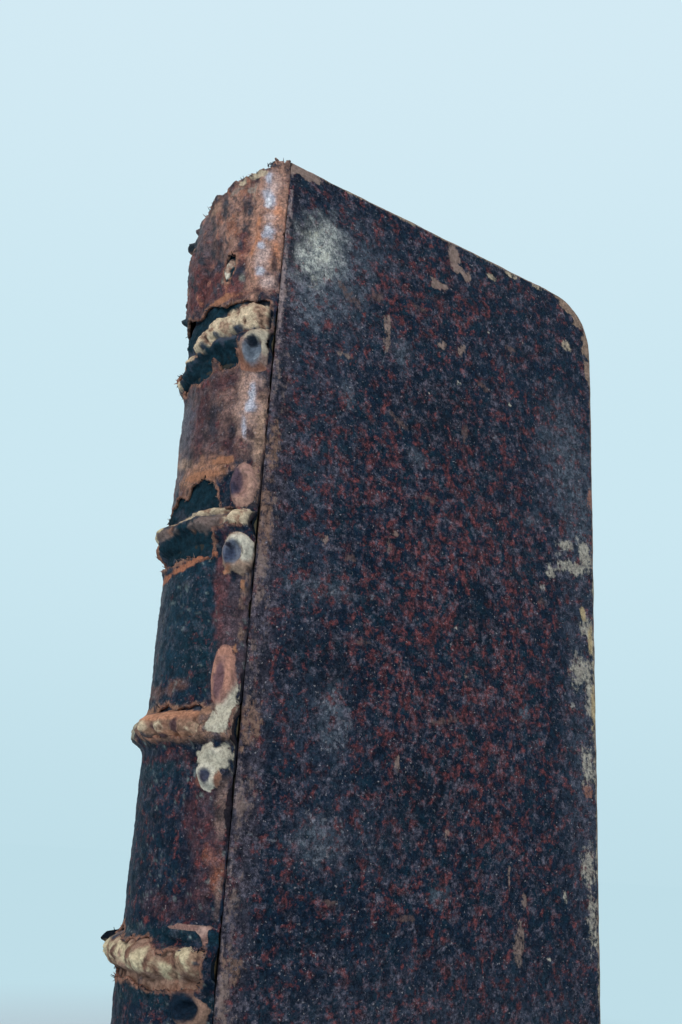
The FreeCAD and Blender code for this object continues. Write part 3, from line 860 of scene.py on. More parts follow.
def rub_spine(paint):
    paint.rub(CREAM, (6.8, 2.4, 2.4, 0.8), (10.4, 3.0, 1.2, 0.6), cover=0.75)
    paint.rub((142, 134, 126), (8.0, 5.4, 1.4, 1.0), (12, 4.4, 2.0, 0.7), cover=0.6)
    paint.rub((156, 128, 110), (19, 5.4, 3, 1.6), (27, 12, 4, 0.8), (29, 20, 3, 1.0), cover=0.55)
    paint.rub(
        (158, 112, 88), (13.4, 29.0, 4.2, 0.9, 6), (13, 65.0, 4.6, 1.0), (8.4, 62.8, 3, 0.8),
        cover=0.8, soft=0.5,
    )
    paint.rub(
        (164, 108, 84), (10, 80.6, 3, 0.7, 6), (16, 82.0, 5, 0.7, 8), (24, 82.8, 6, 0.8),
        cover=0.8, soft=0.5,
    )
    paint.rub(
        (158, 122, 102), (14, 107.4, 9, 0.8, -3), (24, 107.0, 6, 0.8), (7, 107.6, 2.4, 1.0),
        cover=0.75, soft=0.5,
    )
    paint.rub((176, 160, 134), (11, 109.4, 1.4, 0.8), (17, 109.6, 1.6, 0.8), cover=0.9, soft=0.5)
    paint.rub((160, 154, 136), (26.0, 109.6, 2.4, 1.7), (30, 109.6, 3, 2.0), cover=1.0, soft=0.5)
    paint.rub(
        (142, 116, 102), (1.3, 84, 0.7, 3), (1.7, 88, 0.8, 2.2), (1.4, 94.6, 0.7, 2.6), (1.2, 65, 0.9, 5),
        (1.2, 36, 0.8, 5),
        cover=0.5, soft=0.6,
    )
    paint.rub((160, 116, 90), (1.9, 86, 0.5, 1.0), (2.1, 97, 0.6, 1.0), cover=0.7)
    paint.rub(
        (190, 184, 166), (3.7, 115.2, 2.8, 2.6), (5.8, 114.8, 1.6, 0.9), (2.2, 105.4, 1.1, 2.2),
        (3.4, 109.8, 1.5, 2.2), (2.8, 107.6, 1.2, 2.0),
        cover=1.0, soft=0.35,
    )
    paint.rub(
        (208, 202, 186), (3.2, 114.2, 1.6, 0.9), (2.6, 106.4, 0.6, 1.0), (3.6, 110.4, 0.7, 0.9),
        cover=1.0, soft=0.5,
    )
    paint.rub(CREAM, (2.6, 74.6, 1.9, 1.9), (4.6, 145.5, 2.4, 1.9), (3.2, 35.0, 2.2, 3.4), cover=0.8)


def paint_spine(distance, depth, hole):
    """Colours of the spine leather: dyes first, then scuffs, curls and painted shade along the front edge
    at the hinge crack.
    """
    paint = Paint(distance, depth, NAVY, 0.5, 11)
    dye_head_panel(paint)
    dye_second_panel(paint)
    dye_lower_panels(paint)
    patchy = rough(distance, depth, 2.2, 36)
    paint.tint(BLACK_BLUE, 0.55 * ease(-0.35, -0.75, patchy), 0.15)
    specks = 0.6 * ease(0.62, 0.85, rough(distance, depth, 0.9, 37))
    paint.tint((110, 124, 122), specks * ease(60, 84, depth), 0.1)
    lumpy = rough(distance, depth, 1.4, 35)[..., None]
    paint.ground[..., :3] *= np.clip(1 + 0.45 * lumpy, 0.4, 1.7)
    dye_shoulder(paint)
    rim = np.exp(-((np.maximum(-hole, 0) / 0.7) ** 2))
    paint.lay((150, 112, 96), rim * (0.7 + 0.35 * lumps(distance, depth, 3.0, 91)) * ease(2.5, 5, depth))
    rub_spine(paint)
    for colour, *places in CURL_PAINT:
        paint.daub(colour, *places)
    # Painted shade: the leather's front edge darkened where it turns into the hinge crack
    furrow_shade = np.interp(depth, *FURROW_SHADE)
    paint.cake((24, 24, 32), furrow_shade * ease(1.1, 0.5, distance + 0.8 * patchy))
    return {"ground": paint.ground, "scuff": paint.scuff}


def build_spine_leather(material):
    """The worn leather of the spine, with its tears, and returns the places along its torn edges."""
    step = 0.38
    columns = np.arange(HINGE_CLEARANCE, ROUND_LENGTH - HINGE_CLEARANCE, step)
    rows = np.arange(-1.6, HEIGHT + step, step)
    depth, distance = np.meshgrid(np.minimum(rows, HEIGHT), columns, indexing="ij")
    near_edge = np.minimum(distance, ROUND_LENGTH - distance)
    inward = np.where(distance < ROUND_LENGTH / 2, 1, -1)
    gap = np.interp(depth, *CRACK_WIDTHS) * np.abs(rough(depth * 0.5, distance * 0, 2.4, 74))
    distance = distance + inward * gap * np.exp(-near_edge / 1.2)
    hole = spine_hole(distance, depth)
    faces = grid_faces(*distance.shape, flip=True)
    gone = hole.ravel()[faces].mean(axis=1) > 0
    kept = largest_part(faces[~gone], distance.size)
    on_edge = np.intersect1d(kept, faces[gone])
    down, across = np.gradient(hole, step)
    reach = np.clip(hole, -step, step) / np.maximum(down**2 + across**2, 0.3)
    moved = np.zeros(distance.size, bool)
    moved[on_edge] = True
    moved = moved.reshape(distance.shape)
    distance = np.where(moved, distance - reach * across, distance)
    depth = np.where(moved, depth - reach * down, depth)
    depth = np.minimum(depth, HEIGHT)
    curl = np.exp(-((np.maximum(-hole, 0) / 1.0) ** 2))
    rise = spine_rise(distance, depth) + curl * (0.25 + 0.4 * lumps(distance, depth, 2.2, 93))
    tail = ease(HEIGHT, HEIGHT - 1.0, depth)
    rise = rise * tail - 0.5 * (1 - tail)
    points = spine_points(distance, depth, RADIUS + rise)
    piece = make_piece("spine_calf", points, kept, material, paint_spine(distance, depth, hole))
    thicken(piece, 0.55)
    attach(piece, "pages_and_spine")
    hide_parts("spine_leather")
    return points.reshape(-1, 3)[on_edge]


# Frayed strands: how many stand on the torn edges and in the head's tuft, and how finely each is made
EDGE_FIBRES = 620
TUFT_FIBRES = 40
FIBRE_RINGS = 5
FIBRE_SIDES = 3


def build_fibres(roots, material):
    """Frayed strands along the torn edges of the spine's leather, and a tuft at the head's front corner."""
    chance = np.random.default_rng(77)
    roots = roots[chance.choice(len(roots), EDGE_FIBRES, replace=False)]
    tuft_distance = chance.uniform(1.8, 4.8, TUFT_FIBRES)
    tuft_depth = chance.uniform(0.2, 1.4, TUFT_FIBRES)
    roots = np.concatenate([roots, spine_points(tuft_distance, tuft_depth, RADIUS + 0.3)])
    count = len(roots)
    in_tuft = np.arange(count) >= EDGE_FIBRES
    outward = np.stack([roots[:, 0] - AXIS_X, roots[:, 1], np.zeros(count)], axis=-1)
    outward /= np.linalg.norm(outward, axis=1)[:, None]
    along = np.stack([outward[:, 1], -outward[:, 0], np.zeros(count)], axis=-1)
    upward = np.array([0, 0, 1.0]) * (chance.normal(0, 0.8, count) + in_tuft * 2.4)[:, None]
    heading = outward * chance.uniform(0.15, 0.8, count)[:, None]
    heading = heading + along * chance.normal(0, 0.7, count)[:, None] + upward * 0.6
    heading /= np.linalg.norm(heading, axis=1)[:, None]
    bend = chance.normal(0, 0.5, (count, 3))
    length = chance.uniform(0.2, 0.6, count)
    share = np.linspace(0, 1, FIBRE_RINGS)
    path = roots[:, None, :] - 0.15 * outward[:, None, :]
    path = path + length[:, None, None] * (
        share[None, :, None] * heading[:, None, :] + (share**2)[None, :, None] * bend[:, None, :]
    )
    side = np.cross(heading, bend)
    side /= np.linalg.norm(side, axis=1)[:, None]
    other = np.cross(heading, side)
    size = chance.uniform(0.1, 0.22, count) + 0.12 * in_tuft
    size = size[:, None, None] * (1 - 0.75 * share)[None, :, None]
    rings = []
    for number in range(FIBRE_SIDES):
        turn = number * 2 * math.pi / FIBRE_SIDES
        rings.append(
            path + size * (side[:, None, :] * math.cos(turn) + other[:, None, :] * math.sin(turn)),
        )
    points = np.stack(rings, axis=2)
    points[..., 1] = np.clip(points[..., 1], -HALF, HALF)
    each = FIBRE_RINGS * FIBRE_SIDES
    index = np.arange(count * each).reshape(count, FIBRE_RINGS, FIBRE_SIDES)
    after = np.roll(index, -1, axis=2)
    faces = np.stack([index[:, :-1], after[:, :-1], after[:, 1:], index[:, 1:]], axis=-1).reshape(-1, 4)
    tones = np.array([linear(colour) for colour in (TAN, PINK_TAN, BROWN, SLATE, BLACK_BLUE)])
    colour = tones[chance.integers(0, len(tones), count)]
    colour[in_tuft] = linear(SLATE)
    ground = np.ones((count * each, 4))
    ground[:, :3] = np.repeat(colour, each, axis=0)
    piece = make_piece("frayed_edges", points, faces, material, {"ground": ground})
    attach(piece, "pages_and_spine")


def torn_noise(distance, depth, number):
    """Noise for the torn linings at one band: broad shreds, fine grain and drawn-out tufts."""
    shreds = rough(distance, depth, 2.4, 40 + number)
    fine = rough(distance, depth, 0.9, 60 + number, 3)
    tufts = rough(distance + 0.3 * depth, depth * 0.4, 1.5, 80 + number, 3)
    return shreds, fine, tufts


def under_rise(distance, depth, middle, number):
    """How far the torn linings and the cord under one band stand out from the backs of the pages."""
    away = depth - middle
    slope = np.sqrt(np.clip(1 - (away / (CORD_HALF_WIDTH + 0.7)) ** 2, 0, 1))
    shreds, fine, tufts = torn_noise(distance, depth, number)
    rise = 0.6 + slope * (CORD_RISE - 0.6) * (0.92 + 0.12 * shreds)
    for place in UNDER_LUMPS[number]:
        edge = oval(distance, away, place) + 0.2 * shreds
        rise = np.maximum(rise, rise * 0.4 + place[-1] * np.sqrt(np.clip(1 - edge**2, 0, 1)))
    for place in UNDER_HOLLOWS[number]:
        rise = rise * (1 - 0.6 * ease(1.2, 0.5, oval(distance, away, place)))
    tall = ease(1.0, 2.0, rise)
    return rise + shreds * (0.12 + 0.3 * tall) + 0.36 * tufts * tall + 0.2 * fine


# Colours on each torn lining and its cord, the last laid first: colour, then ovals as (distance round,
# depth from the band's middle, half width, half depth, tilt).
UNDER_PAINT = (
    (
        (BONE, (11.5, -18.3, 0.9, 1.0), (11.8, -16.2, 0.8, 0.9)),
        (
            CREAM, (4.8, -5.6, 4, 3.4), (10.6, -5.0, 5, 2.6), (15.4, -3.8, 4, 2.0), (24, -1.4, 8, 1.0),
            (30, 1.0, 1.6, 4.4),
        ),
        # The teal oval at (14, 1.6), in the hollow below the cord, is partly the leather's own colour and
        # partly painted shade
        (TEAL, (14, 1.6, 9, 3.6), (17, -9.0, 8, 1.8), (26, -7, 8, 3), (24, 3, 6, 2.4), (12, -18, 4, 5)),
    ),
    (
        (
            CREAM, (3.4, -0.8, 2.4, 2.0), (10, -2.8, 5.0, 0.6), (28, -1.0, 3.4, 2.2, -5),
            (17, -2.6, 5, 0.5),
        ),
        ((196, 184, 150), (25.2, -1.2, 1.3, 0.9), (23.0, -1.8, 0.9, 0.6)),
        ((104, 92, 90), (9, -0.6, 4.6, 1.5), (22, -0.6, 4, 1.2)),
        # The teal oval at (16, 2.2), in the hollow below the cord, is partly the leather's own colour and
        # partly painted shade
        (TEAL, (14, -6.4, 8, 3.4), (16, 2.2, 12, 3.2), (28, -5, 6, 2.2), (13, 0, 5, 2)),
    ),
    (
        ((88, 68, 72), (10.7, 0.3, 0.5, 1.3), (15.5, 0.1, 0.6, 1.4), (13.2, 1.8, 1.4, 0.4)),
        (CREAM, (7, 0.6, 1.4, 1.0), (13.2, 0.4, 1.0, 0.8), (17.8, 0.2, 1.2, 0.9)),
        ((176, 130, 106), (13, -1.6, 8, 0.9), (10, 1.6, 4, 0.7)),
        ((140, 112, 96), (12, 0.4, 9, 2.4)),
    ),
    (
        (BLACK_BLUE, (27.8, -1.8, 1.2, 1.4),),
        (
            (98, 76, 68), (6.6, -0.8, 0.5, 1.6, 12), (11.0, 0.8, 0.5, 1.7, -10), (15.8, -0.4, 0.6, 1.6),
            (20.8, 0.6, 0.6, 1.5),
        ),
        (
            (190, 178, 150), (4.6, -0.4, 2, 1.8), (7.6, 1.6, 2, 1.2), (12, 0.6, 2.6, 1.6),
            (17, 0.2, 3, 2.0), (27, 0.2, 7, 2.0),
        ),
        ((150, 122, 108), (9, 3.6, 8, 1.4), (21, 3.4, 7, 1.2), (12, -2.2, 5, 1.0), (14, 0.4, 14, 4)),
    ),
)

# How far above each band its torn linings are modelled
UNDER_REACH_UP = (23.4, 12.4, 12.4, 12.4)

# Shreds that stand out beside each cord, and the hollows worn in it: (distance round, depth from the
# band's middle, half width, half depth, tilt), and how far the shreds stand out.
UNDER_LUMPS = (
    (
        (5.0, -5.2, 4.2, 3.6, 0, 3.1), (11.0, -4.6, 5.0, 2.6, 0, 3.0), (16.0, -3.2, 4.0, 2.2, 0, 2.6),
        (28, -6.6, 8, 5, 0, 1.4), (11.7, -17.4, 1.6, 3.0, 0, 1.5),
    ),
    (
        (3.4, -0.8, 2.8, 2.2, 0, 3.0), (10.0, -2.9, 6.0, 0.7, 0, 2.0), (26.0, -1.6, 8.0, 2.0, -5, 2.7),
        (28, -6, 6, 3, 0, 1.2),
    ),
    ((8.4, 0.2, 3.0, 2.6, 0, 3.5), (13.0, -0.1, 3.1, 2.7, 0, 3.7), (18.0, 0.1, 3.2, 2.5, 0, 3.5)),
    (
        (4.5, -0.2, 3.6, 2.8, 0, 3.1), (13.0, 0.4, 6.0, 2.8, 0, 3.0), (25.0, 0.2, 8.0, 2.6, 0, 2.7),
        (27.8, -1.6, 0.8, 1.3, 0, 3.7),
    ),
)
UNDER_HOLLOWS = (
    ((14.0, 1.8, 7.5, 2.8),),
    ((14.0, 1.8, 7.0, 2.2),),
    (),
    (),
)


def build_under_layer(number, middle, material):
    """The sewing cord and the torn linings beside it, as they show through the tear over one band, with
    painted shade where the sheet reaches into the hinge cracks.
    """
    step = 0.26
    above = UNDER_REACH_UP[number]
    rows = np.arange(middle - above, middle + 8.0, step)
    columns = np.arange(0.4, ROUND_LENGTH - 0.4, step)
    depth, distance = np.meshgrid(rows, columns, indexing="ij")
    leather_back = spine_rise(distance, depth) + PAGE_GAP_RADIUS - LEATHER - 0.15
    covered = ease(-0.2, -1.0, spine_hole(distance, depth))
    free = under_rise(distance, depth, middle, number)
    rise = np.minimum(free, leather_back + 2.5 * (1 - covered))
    points = spine_points(distance, depth, RADIUS - PAGE_GAP_RADIUS + rise)
    paint = Paint(distance, depth - middle, SLATE, 0.0, 200 + number)
    for colour, *places in reversed(UNDER_PAINT[number]):
        paint.dye(colour, *places, soft=0.25)
    shreds, fine, tufts = torn_noise(distance, depth, number)
    # Painted light and shade from the same noise as the relief: paler and brighter on the raised shreds,
    # browner and darker in the crevices
    relief_shade = 0.7 * shreds + 0.5 * fine + 0.6 * tufts
    pale = paint.ground[..., 0] > 0.1
    paint.tint((150, 112, 96), 0.7 * ease(0.0, -0.4, relief_shade) * pale)
    paint.tint((74, 56, 54), 0.85 * ease(-0.5, -0.9, relief_shade) * pale)
    paint.ground[..., :3] *= np.clip(1.08 + 0.35 * relief_shade[..., None], 0.5, 1.35)
    # Painted shade: near-black where the sheet reaches into the hinge cracks at both sides
    paint.tint(BLACK_BLUE, ease(2.0, 1.2, np.minimum(distance, ROUND_LENGTH - distance)))
    name = f"sewing_cord_{number + 1}"
    faces = grid_faces(*distance.shape, flip=True)
    piece = make_piece(name, points, faces, material, {"ground": paint.ground})
    thicken(piece, 0.25)
    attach(piece, "pages_and_spine")
    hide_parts(f"raised_cord_{number + 1}")


# Covers


FRONT_SCRATCHES = (
    ((8, 88.5), (10, 86.2), (14, 84.8), (20, 83.6), (26, 83.4)),
    ((15, 101), (20, 102), (22.5, 106), (21, 110.5), (17, 112), (15.4, 108)),
    ((17, 104), (20, 107), (19, 111)),
    ((12, 127), (16, 124), (21, 122.6), (22, 126), (18, 129.6), (13, 130.5)),
    ((2, 126.6), (12, 127.4), (22, 127.8), (31, 127.0)),
    ((14, 122), (18, 126), (16, 131)),
    ((53, 44), (56, 42.4), (57.6, 44)),
    ((74, 60), (79, 66), (84, 69)),
    ((72, 68), (76, 63), (82, 60)),
    ((26, 30.6), (25, 35), (23, 38)),
)


def dye_front(paint):
    paint.dye(NAVY, (48, 88, 22, 40), mottling=0.85, soft=0.6)
    paint.dye(NAVY, (20, 58, 14, 12), (34, 18, 14, 9), (30, 100, 12, 14), mottling=0.75, soft=0.5)
    paint.dye(
        BLACK_BLUE, (40, 42, 12, 7), (52, 84, 6, 10), (40, 118, 9, 9), (15, 98, 10, 6),
        mottling=0.4, strength=0.6, soft=0.6,
    )
    paint.dye(
        SLATE, (76, 46, 8, 16), (82, 70, 6, 16), (82, 112, 6, 18), (14, 108, 10, 8),
        mottling=0.5, strength=0.45, soft=0.6,
    )
    paint.dye(
        SLATE, (9, 60, 8, 40), (20, 126, 14, 7), (12, 30, 12, 8),
        mottling=0.55, strength=0.4, soft=0.6,
    )
    paint.dye(HAZE_AND_HIGHLIGHT, (11, 20, 8, 10, 30), (6.6, 29.6, 3.6, 4.0), mottling=0.4, strength=0.6, soft=0.8)
    paint.dye(GREY_GREEN, (7.8, 16.6, 4.8, 6.6, 30), mottling=0.0, strength=1.0, soft=0.7)
    paint.dye(
        (84, 90, 102), (20, 12, 9, 6), (83, 100, 6, 40), (40, 165, 44, 16),
        mottling=0.5, strength=0.3, soft=0.8,
    )
    # The oval at (67.4, 58.2) is a painted highlight; the two larger ones are haze on the leather
    paint.dye(
        HAZE_AND_HIGHLIGHT, (77, 40, 6, 10), (81, 54, 4, 7), (67.4, 58.2, 2.6, 1.4, -30),
        mottling=0.5, strength=0.45, soft=0.8,
    )
    # Painted highlights at (17, 45.4) and (35, 53.2); the other two ovals are haze round the scratches
    paint.dye(
        HAZE_AND_HIGHLIGHT, (17, 45.4, 1.6, 2.4), (35, 53.2, 2.6, 1.4, 20), (18, 106, 3.2, 4.4), (17, 127, 4.4, 3.0),
        mottling=0.5, strength=0.5, soft=0.7,
    )
    # Painted highlights at (64.6, 99.6) and (43.6, 134.6); the other two ovals are haze on the leather
    paint.dye(
        HAZE_AND_HIGHLIGHT, (64.6, 99.6, 1.2, 2.0), (43.6, 134.6, 2.0, 1.6), (14, 84, 7, 1.6), (30, 32, 2, 3),
        mottling=0.5, strength=0.45, soft=0.7,
    )


def rub_front(paint):
    paint.rub(
        (170, 170, 154), (6.2, 14.2, 2.4, 3.2, 30), (8.8, 18.2, 1.4, 3.0, 30), (7.2, 24, 1.0, 1.6),
        cover=0.4, soft=0.7,
    )
    paint.rub(
        TAN, (2.6, 1.0, 4.4, 1.6), (42.6, 3.6, 1.8, 3.8, -24), (46.4, 7.2, 1.1, 1.4),
        (38.4, 12.4, 2.6, 1.1, -10),
        cover=0.85,
    )
    paint.rub(
        (152, 130, 114), (77.6, 1.9, 4.4, 1.7, 20), (82.2, 4.8, 2.2, 2.4, 45), (84.7, 10, 1.5, 4.6),
        (84.9, 17, 1.0, 3),
        cover=0.85,
    )
    paint.rub(TAN, (40.2, 26, 1.3, 0.9), (45.6, 25.2, 0.8, 2.0, 20), cover=0.75)
    paint.rub(
        CREAM, (77.6, 12.4, 1.8, 1.5), (54, 4.2, 2.2, 0.8, 10), (60, 1.2, 2.6, 0.7), (68, 1.0, 2.0, 0.6),
        cover=0.6,
    )
    paint.rub(
        TAN, (25.6, 28, 1.1, 4.4), (15.4, 37, 2.0, 0.7), (32.8, 112.4, 0.8, 1.6), (63.6, 142.4, 1.2, 4.2),
        cover=0.62,
    )
    paint.rub(
        TAN, (44.8, 124, 0.8, 0.9), (61, 131, 0.5, 2.2), (65, 134.6, 1.0, 1.3), (30, 70, 0.8, 0.7),
        cover=0.66,
    )
    paint.rub(
        TAN, (28.6, 73, 0.6, 1.2), (14, 74.6, 1.0, 1.3), (49, 94.6, 0.6, 0.6), (36.6, 11.6, 0.8, 0.5),
        cover=0.6,
    )
    paint.rub(
        BROWN, (43.6, 103.8, 4.6, 0.8, -14), (36, 138.6, 3.0, 0.7), (20, 136.4, 1.6, 0.6),
        (20, 77, 1.6, 0.9),
        cover=0.6,
    )
    paint.rub(
        BROWN, (16, 24, 5, 1.2, 30), (23, 21, 3, 1.0, -20), (34, 20, 2.4, 0.8), (52, 32, 2.2, 0.8, 20),
        (60, 20, 2, 0.8),
        cover=0.55,
    )
    paint.rub(
        BROWN, (30, 47, 2.6, 0.8, 30), (47, 44, 1.0, 2.4), (38, 61, 2.2, 0.8), (70, 76, 2.4, 0.9),
        (24, 92, 2.2, 0.7),
        cover=0.55,
    )
    paint.rub(
        WORN_FORE, (77, 61.6, 3.0, 1.4), (79, 66.4, 5.0, 1.6), (72, 68.4, 1.6, 1.6), (83, 63, 2, 4),
        cover=0.62, soft=0.6,
    )
    paint.rub(
        WORN_FORE, (83.2, 79, 2.0, 2.2), (84.0, 92, 1.6, 7.0), (81.4, 89, 3.4, 4.0),
        cover=0.58, soft=0.6,
    )
    paint.rub(
        WORN_FORE, (83, 107.6, 2.4, 5.0), (76, 133.6, 0.7, 1.6), (83, 128, 2.4, 4), (84, 138, 1.6, 6),
        cover=0.57, soft=0.6,
    )
    paint.rub(PINK_TAN, (83.4, 113.4, 1.8, 1.5), (85, 49, 1.2, 2.2), cover=0.6)
    paint.rub(
        (190, 170, 132), (85.3, 95.4, 0.9, 5.0), (84.6, 82, 0.7, 3.0), (82.4, 76, 0.8, 1.6),
        cover=0.8,
    )
    paint.rub(
        (170, 166, 160), (75, 64.4, 1.2, 0.7), (80.6, 59.4, 0.8, 0.8), (70, 72.6, 1.0, 0.7),
        (79, 96.4, 1.0, 1.2),
        cover=0.55,
    )
    # The speck at (53, 18.2) is a painted highlight
    paint.rub(
        BONE, (53, 18.2, 0.6, 0.5), (37, 38.2, 0.4, 0.4), (38.6, 36, 0.35, 0.4), (59.8, 33.6, 0.4, 0.4),
        cover=0.8,
    )
    paint.rub(
        BONE, (63.4, 17, 0.5, 0.35), (45.2, 33.4, 0.5, 0.4), (71.6, 145, 0.5, 0.4),
        (46.2, 85.6, 0.4, 0.5),
        cover=0.7,
    )
    paint.scratch((136, 140, 150), *FRONT_SCRATCHES, width=0.7, cover=0.42)


def paint_front(u, v):
    paint = Paint(u, v, NAVY, 0.5, 301)
    dye_front(paint)
    rub_front(paint)
    strip = np.interp(v, (0, 24, 50, HEIGHT), (0.0, 0.5, 1.1, 0.95))
    hinge_streaks(paint, strip)
    edge_rub(paint)
    to_fore = COVER_WIDTH - u + 0.5 * paint.ragged
    uneven = 0.5 + 0.5 * rough(u, v, 4.0, 320)
    paint.lay((176, 166, 144), ease(1.9, 0.5, to_fore) * uneven * ease(56, 70, v))
    paint.rub(
        (140, 112, 98), (1.2, 73, 1.8, 7), (1.6, 109, 2.2, 5), (2.4, 146, 2.2, 2.6), (1.6, 60, 1.4, 5),
        cover=0.55,
    )
    return paint


def hinge_streaks(paint, strip):
    """Rubbed and darkened streaks that run down a cover beside its hinge line."""
    u, v = paint.u, paint.v
    streak = rough(u * 1.1, v * 0.14, 1.0, paint.seed + 9)
    broken = rough(u, v, 2.6, paint.seed + 10)
    near = ease(6.5, 1.5, u + 1.2 * streak)
    paint.tint((92, 84, 92), 0.7 * near * strip, 0.45)
    paint.tint((22, 26, 38), near * 0.85 * ease(0.15, -0.3, streak), 0.3)
    paint.lay((138, 120, 114), strip * near * (0.3 + 0.36 * streak + 0.34 * broken) * ease(0.2, 0.7, u))
    pale = ease(1.4, 0.8, u) * np.interp(v, (0, 40, 50, HEIGHT), (0.8, 0.8, 0.35, 0.35))
    paint.lay((152, 136, 136), pale * (0.8 + 0.5 * rough(v, u, 7.0, paint.seed)))


def edge_rub(paint):
    """Leather rubbed through in places along a cover's three outer edges."""
    u, v = paint.u, paint.v
    to_edge = np.minimum(np.minimum(v, HEIGHT - v), COVER_WIDTH - u)
    broken = 0.5 + 0.45 * rough(u, v, 5.0, paint.seed + 11)
    paint.lay((158, 140, 122), broken * ease(1.6, 0.4, to_edge + 0.4 * paint.ragged))


def paint_back(u, v):
    paint = Paint(u, v, NAVY, 0.55, 401)
    paint.dye(NAVY, (36, 70, 30, 40), (60, 140, 24, 30), mottling=0.85, soft=0.6)
    paint.dye(BLACK_BLUE, (60, 60, 12, 12), (26, 120, 14, 10), mottling=0.25, strength=0.7, soft=0.6)
    paint.dye(SLATE, (76, 100, 10, 26), (12, 30, 10, 14), mottling=0.3, strength=0.4, soft=0.6)
    paint.dye(
        GREY_BLUE, (46, 92, 16, 20), (70, 40, 8, 10), (20, 150, 8, 6),
        mottling=0.3, strength=0.34, soft=0.8,
    )
    paint.rub(
        TAN, (78, 3.0, 5, 2.2, 14), (84.6, 9, 1.8, 4), (79, 183, 5, 2.4, -12), (30, 1.6, 3.2, 1.6),
        cover=0.8,
    )
    paint.rub(
        TAN, (22, 60, 2.0, 0.9, 20), (66, 150, 1.4, 2.4), (40, 171, 0.9, 1.6), (12, 184, 4, 1.4),
        cover=0.62,
    )
    paint.rub(
        BROWN, (52, 96, 1.2, 3.2), (31, 36, 3, 0.9, 25), (58, 118, 2.4, 0.9), (70, 72, 1, 2.6),
        cover=0.5,
    )
    paint.rub(CREAM, (83, 76, 2.8, 12), (82, 130, 2.6, 9), cover=0.42, soft=0.5)
    paint.scratch(
        GREY_BLUE,
        ((18, 40), (30, 46), (44, 47)),
        ((50, 120), (58, 132), (61, 148)),
        ((30, 98), (37, 92), (49, 90)),
        width=0.7,
        cover=0.4,
    )
    hinge_streaks(paint, np.full(u.shape, 0.8))
    edge_rub(paint)
    return paint


def cover_face(step):
    """Places and distances for a cover's outer face, whose rows follow its two rounded corners."""
    radius = CORNER_RADIUS - EDGE_ROUND
    turn = np.linspace(0, math.pi / 2, int(radius * math.pi / 2 / step))
    top = EDGE_ROUND + radius * (1 - np.cos(turn))
    middle = np.arange(CORNER_RADIUS + step, HEIGHT - CORNER_RADIUS - step / 2, step)
    depth = np.concatenate([top, middle, HEIGHT - top[::-1]])
    width = COVER_WIDTH - EDGE_ROUND
    reach = np.full(depth.shape, width)
    reach[: len(turn)] = width - radius + radius * np.sin(turn)
    reach[-len(turn) :] = reach[: len(turn)][::-1]
    across = np.linspace(0, 1, int(width / step))
    u = HINGE_CLEARANCE + (reach[:, None] - HINGE_CLEARANCE) * across[None, :]
    v = np.repeat(depth[:, None], len(across), axis=1)
    gap = 0.4 * np.interp(v, *CRACK_WIDTHS) * np.abs(rough(v * 0.5, u * 0, 2.4, 75))
    return u + gap * np.exp(-u / 1.2), v


def edge_loop(shape):
    """Indices of a grid's points along its top, right side and bottom."""
    index = np.arange(shape[0] * shape[1]).reshape(shape)
    return np.concatenate([index[0, :-1], index[:-1, -1], index[-1, ::-1]])


def edge_directions(loop_u, loop_v):
    """Directions square to a cover's outer edge, away from it."""
    away_u = np.gradient(loop_v)
    away_v = -np.gradient(loop_u)
    length = np.maximum(np.hypot(away_u, away_v), 1e-9)
    away_u, away_v = away_u / length, away_v / length
    straight_top = loop_v < EDGE_ROUND + 0.01
    straight_tail = loop_v > HEIGHT - EDGE_ROUND - 0.01
    away_u[straight_top | straight_tail] = 0
    away_v[straight_top] = -1
    away_v[straight_tail] = 1
    return away_u, away_v


def edge_rings():
    """The section of a cover's edge from its face to the end of its turn-in: (outwards, inwards)."""
    turns = np.linspace(0, math.pi / 2, 5)[1:]
    rings = [(EDGE_ROUND * math.sin(turn), EDGE_ROUND * (1 - math.cos(turn))) for turn in turns]
    rings += [(EDGE_ROUND, 1.6), (EDGE_ROUND, 2.4)]
    rings += [(0.85, COVER_THICKNESS - 0.3), (0.6, COVER_THICKNESS - 0.02)]
    return rings + [(EDGE_ROUND - inset, COVER_THICKNESS) for inset in (1.2, 3.0, 6.0, 9.0, TURN_IN_WIDTH)]


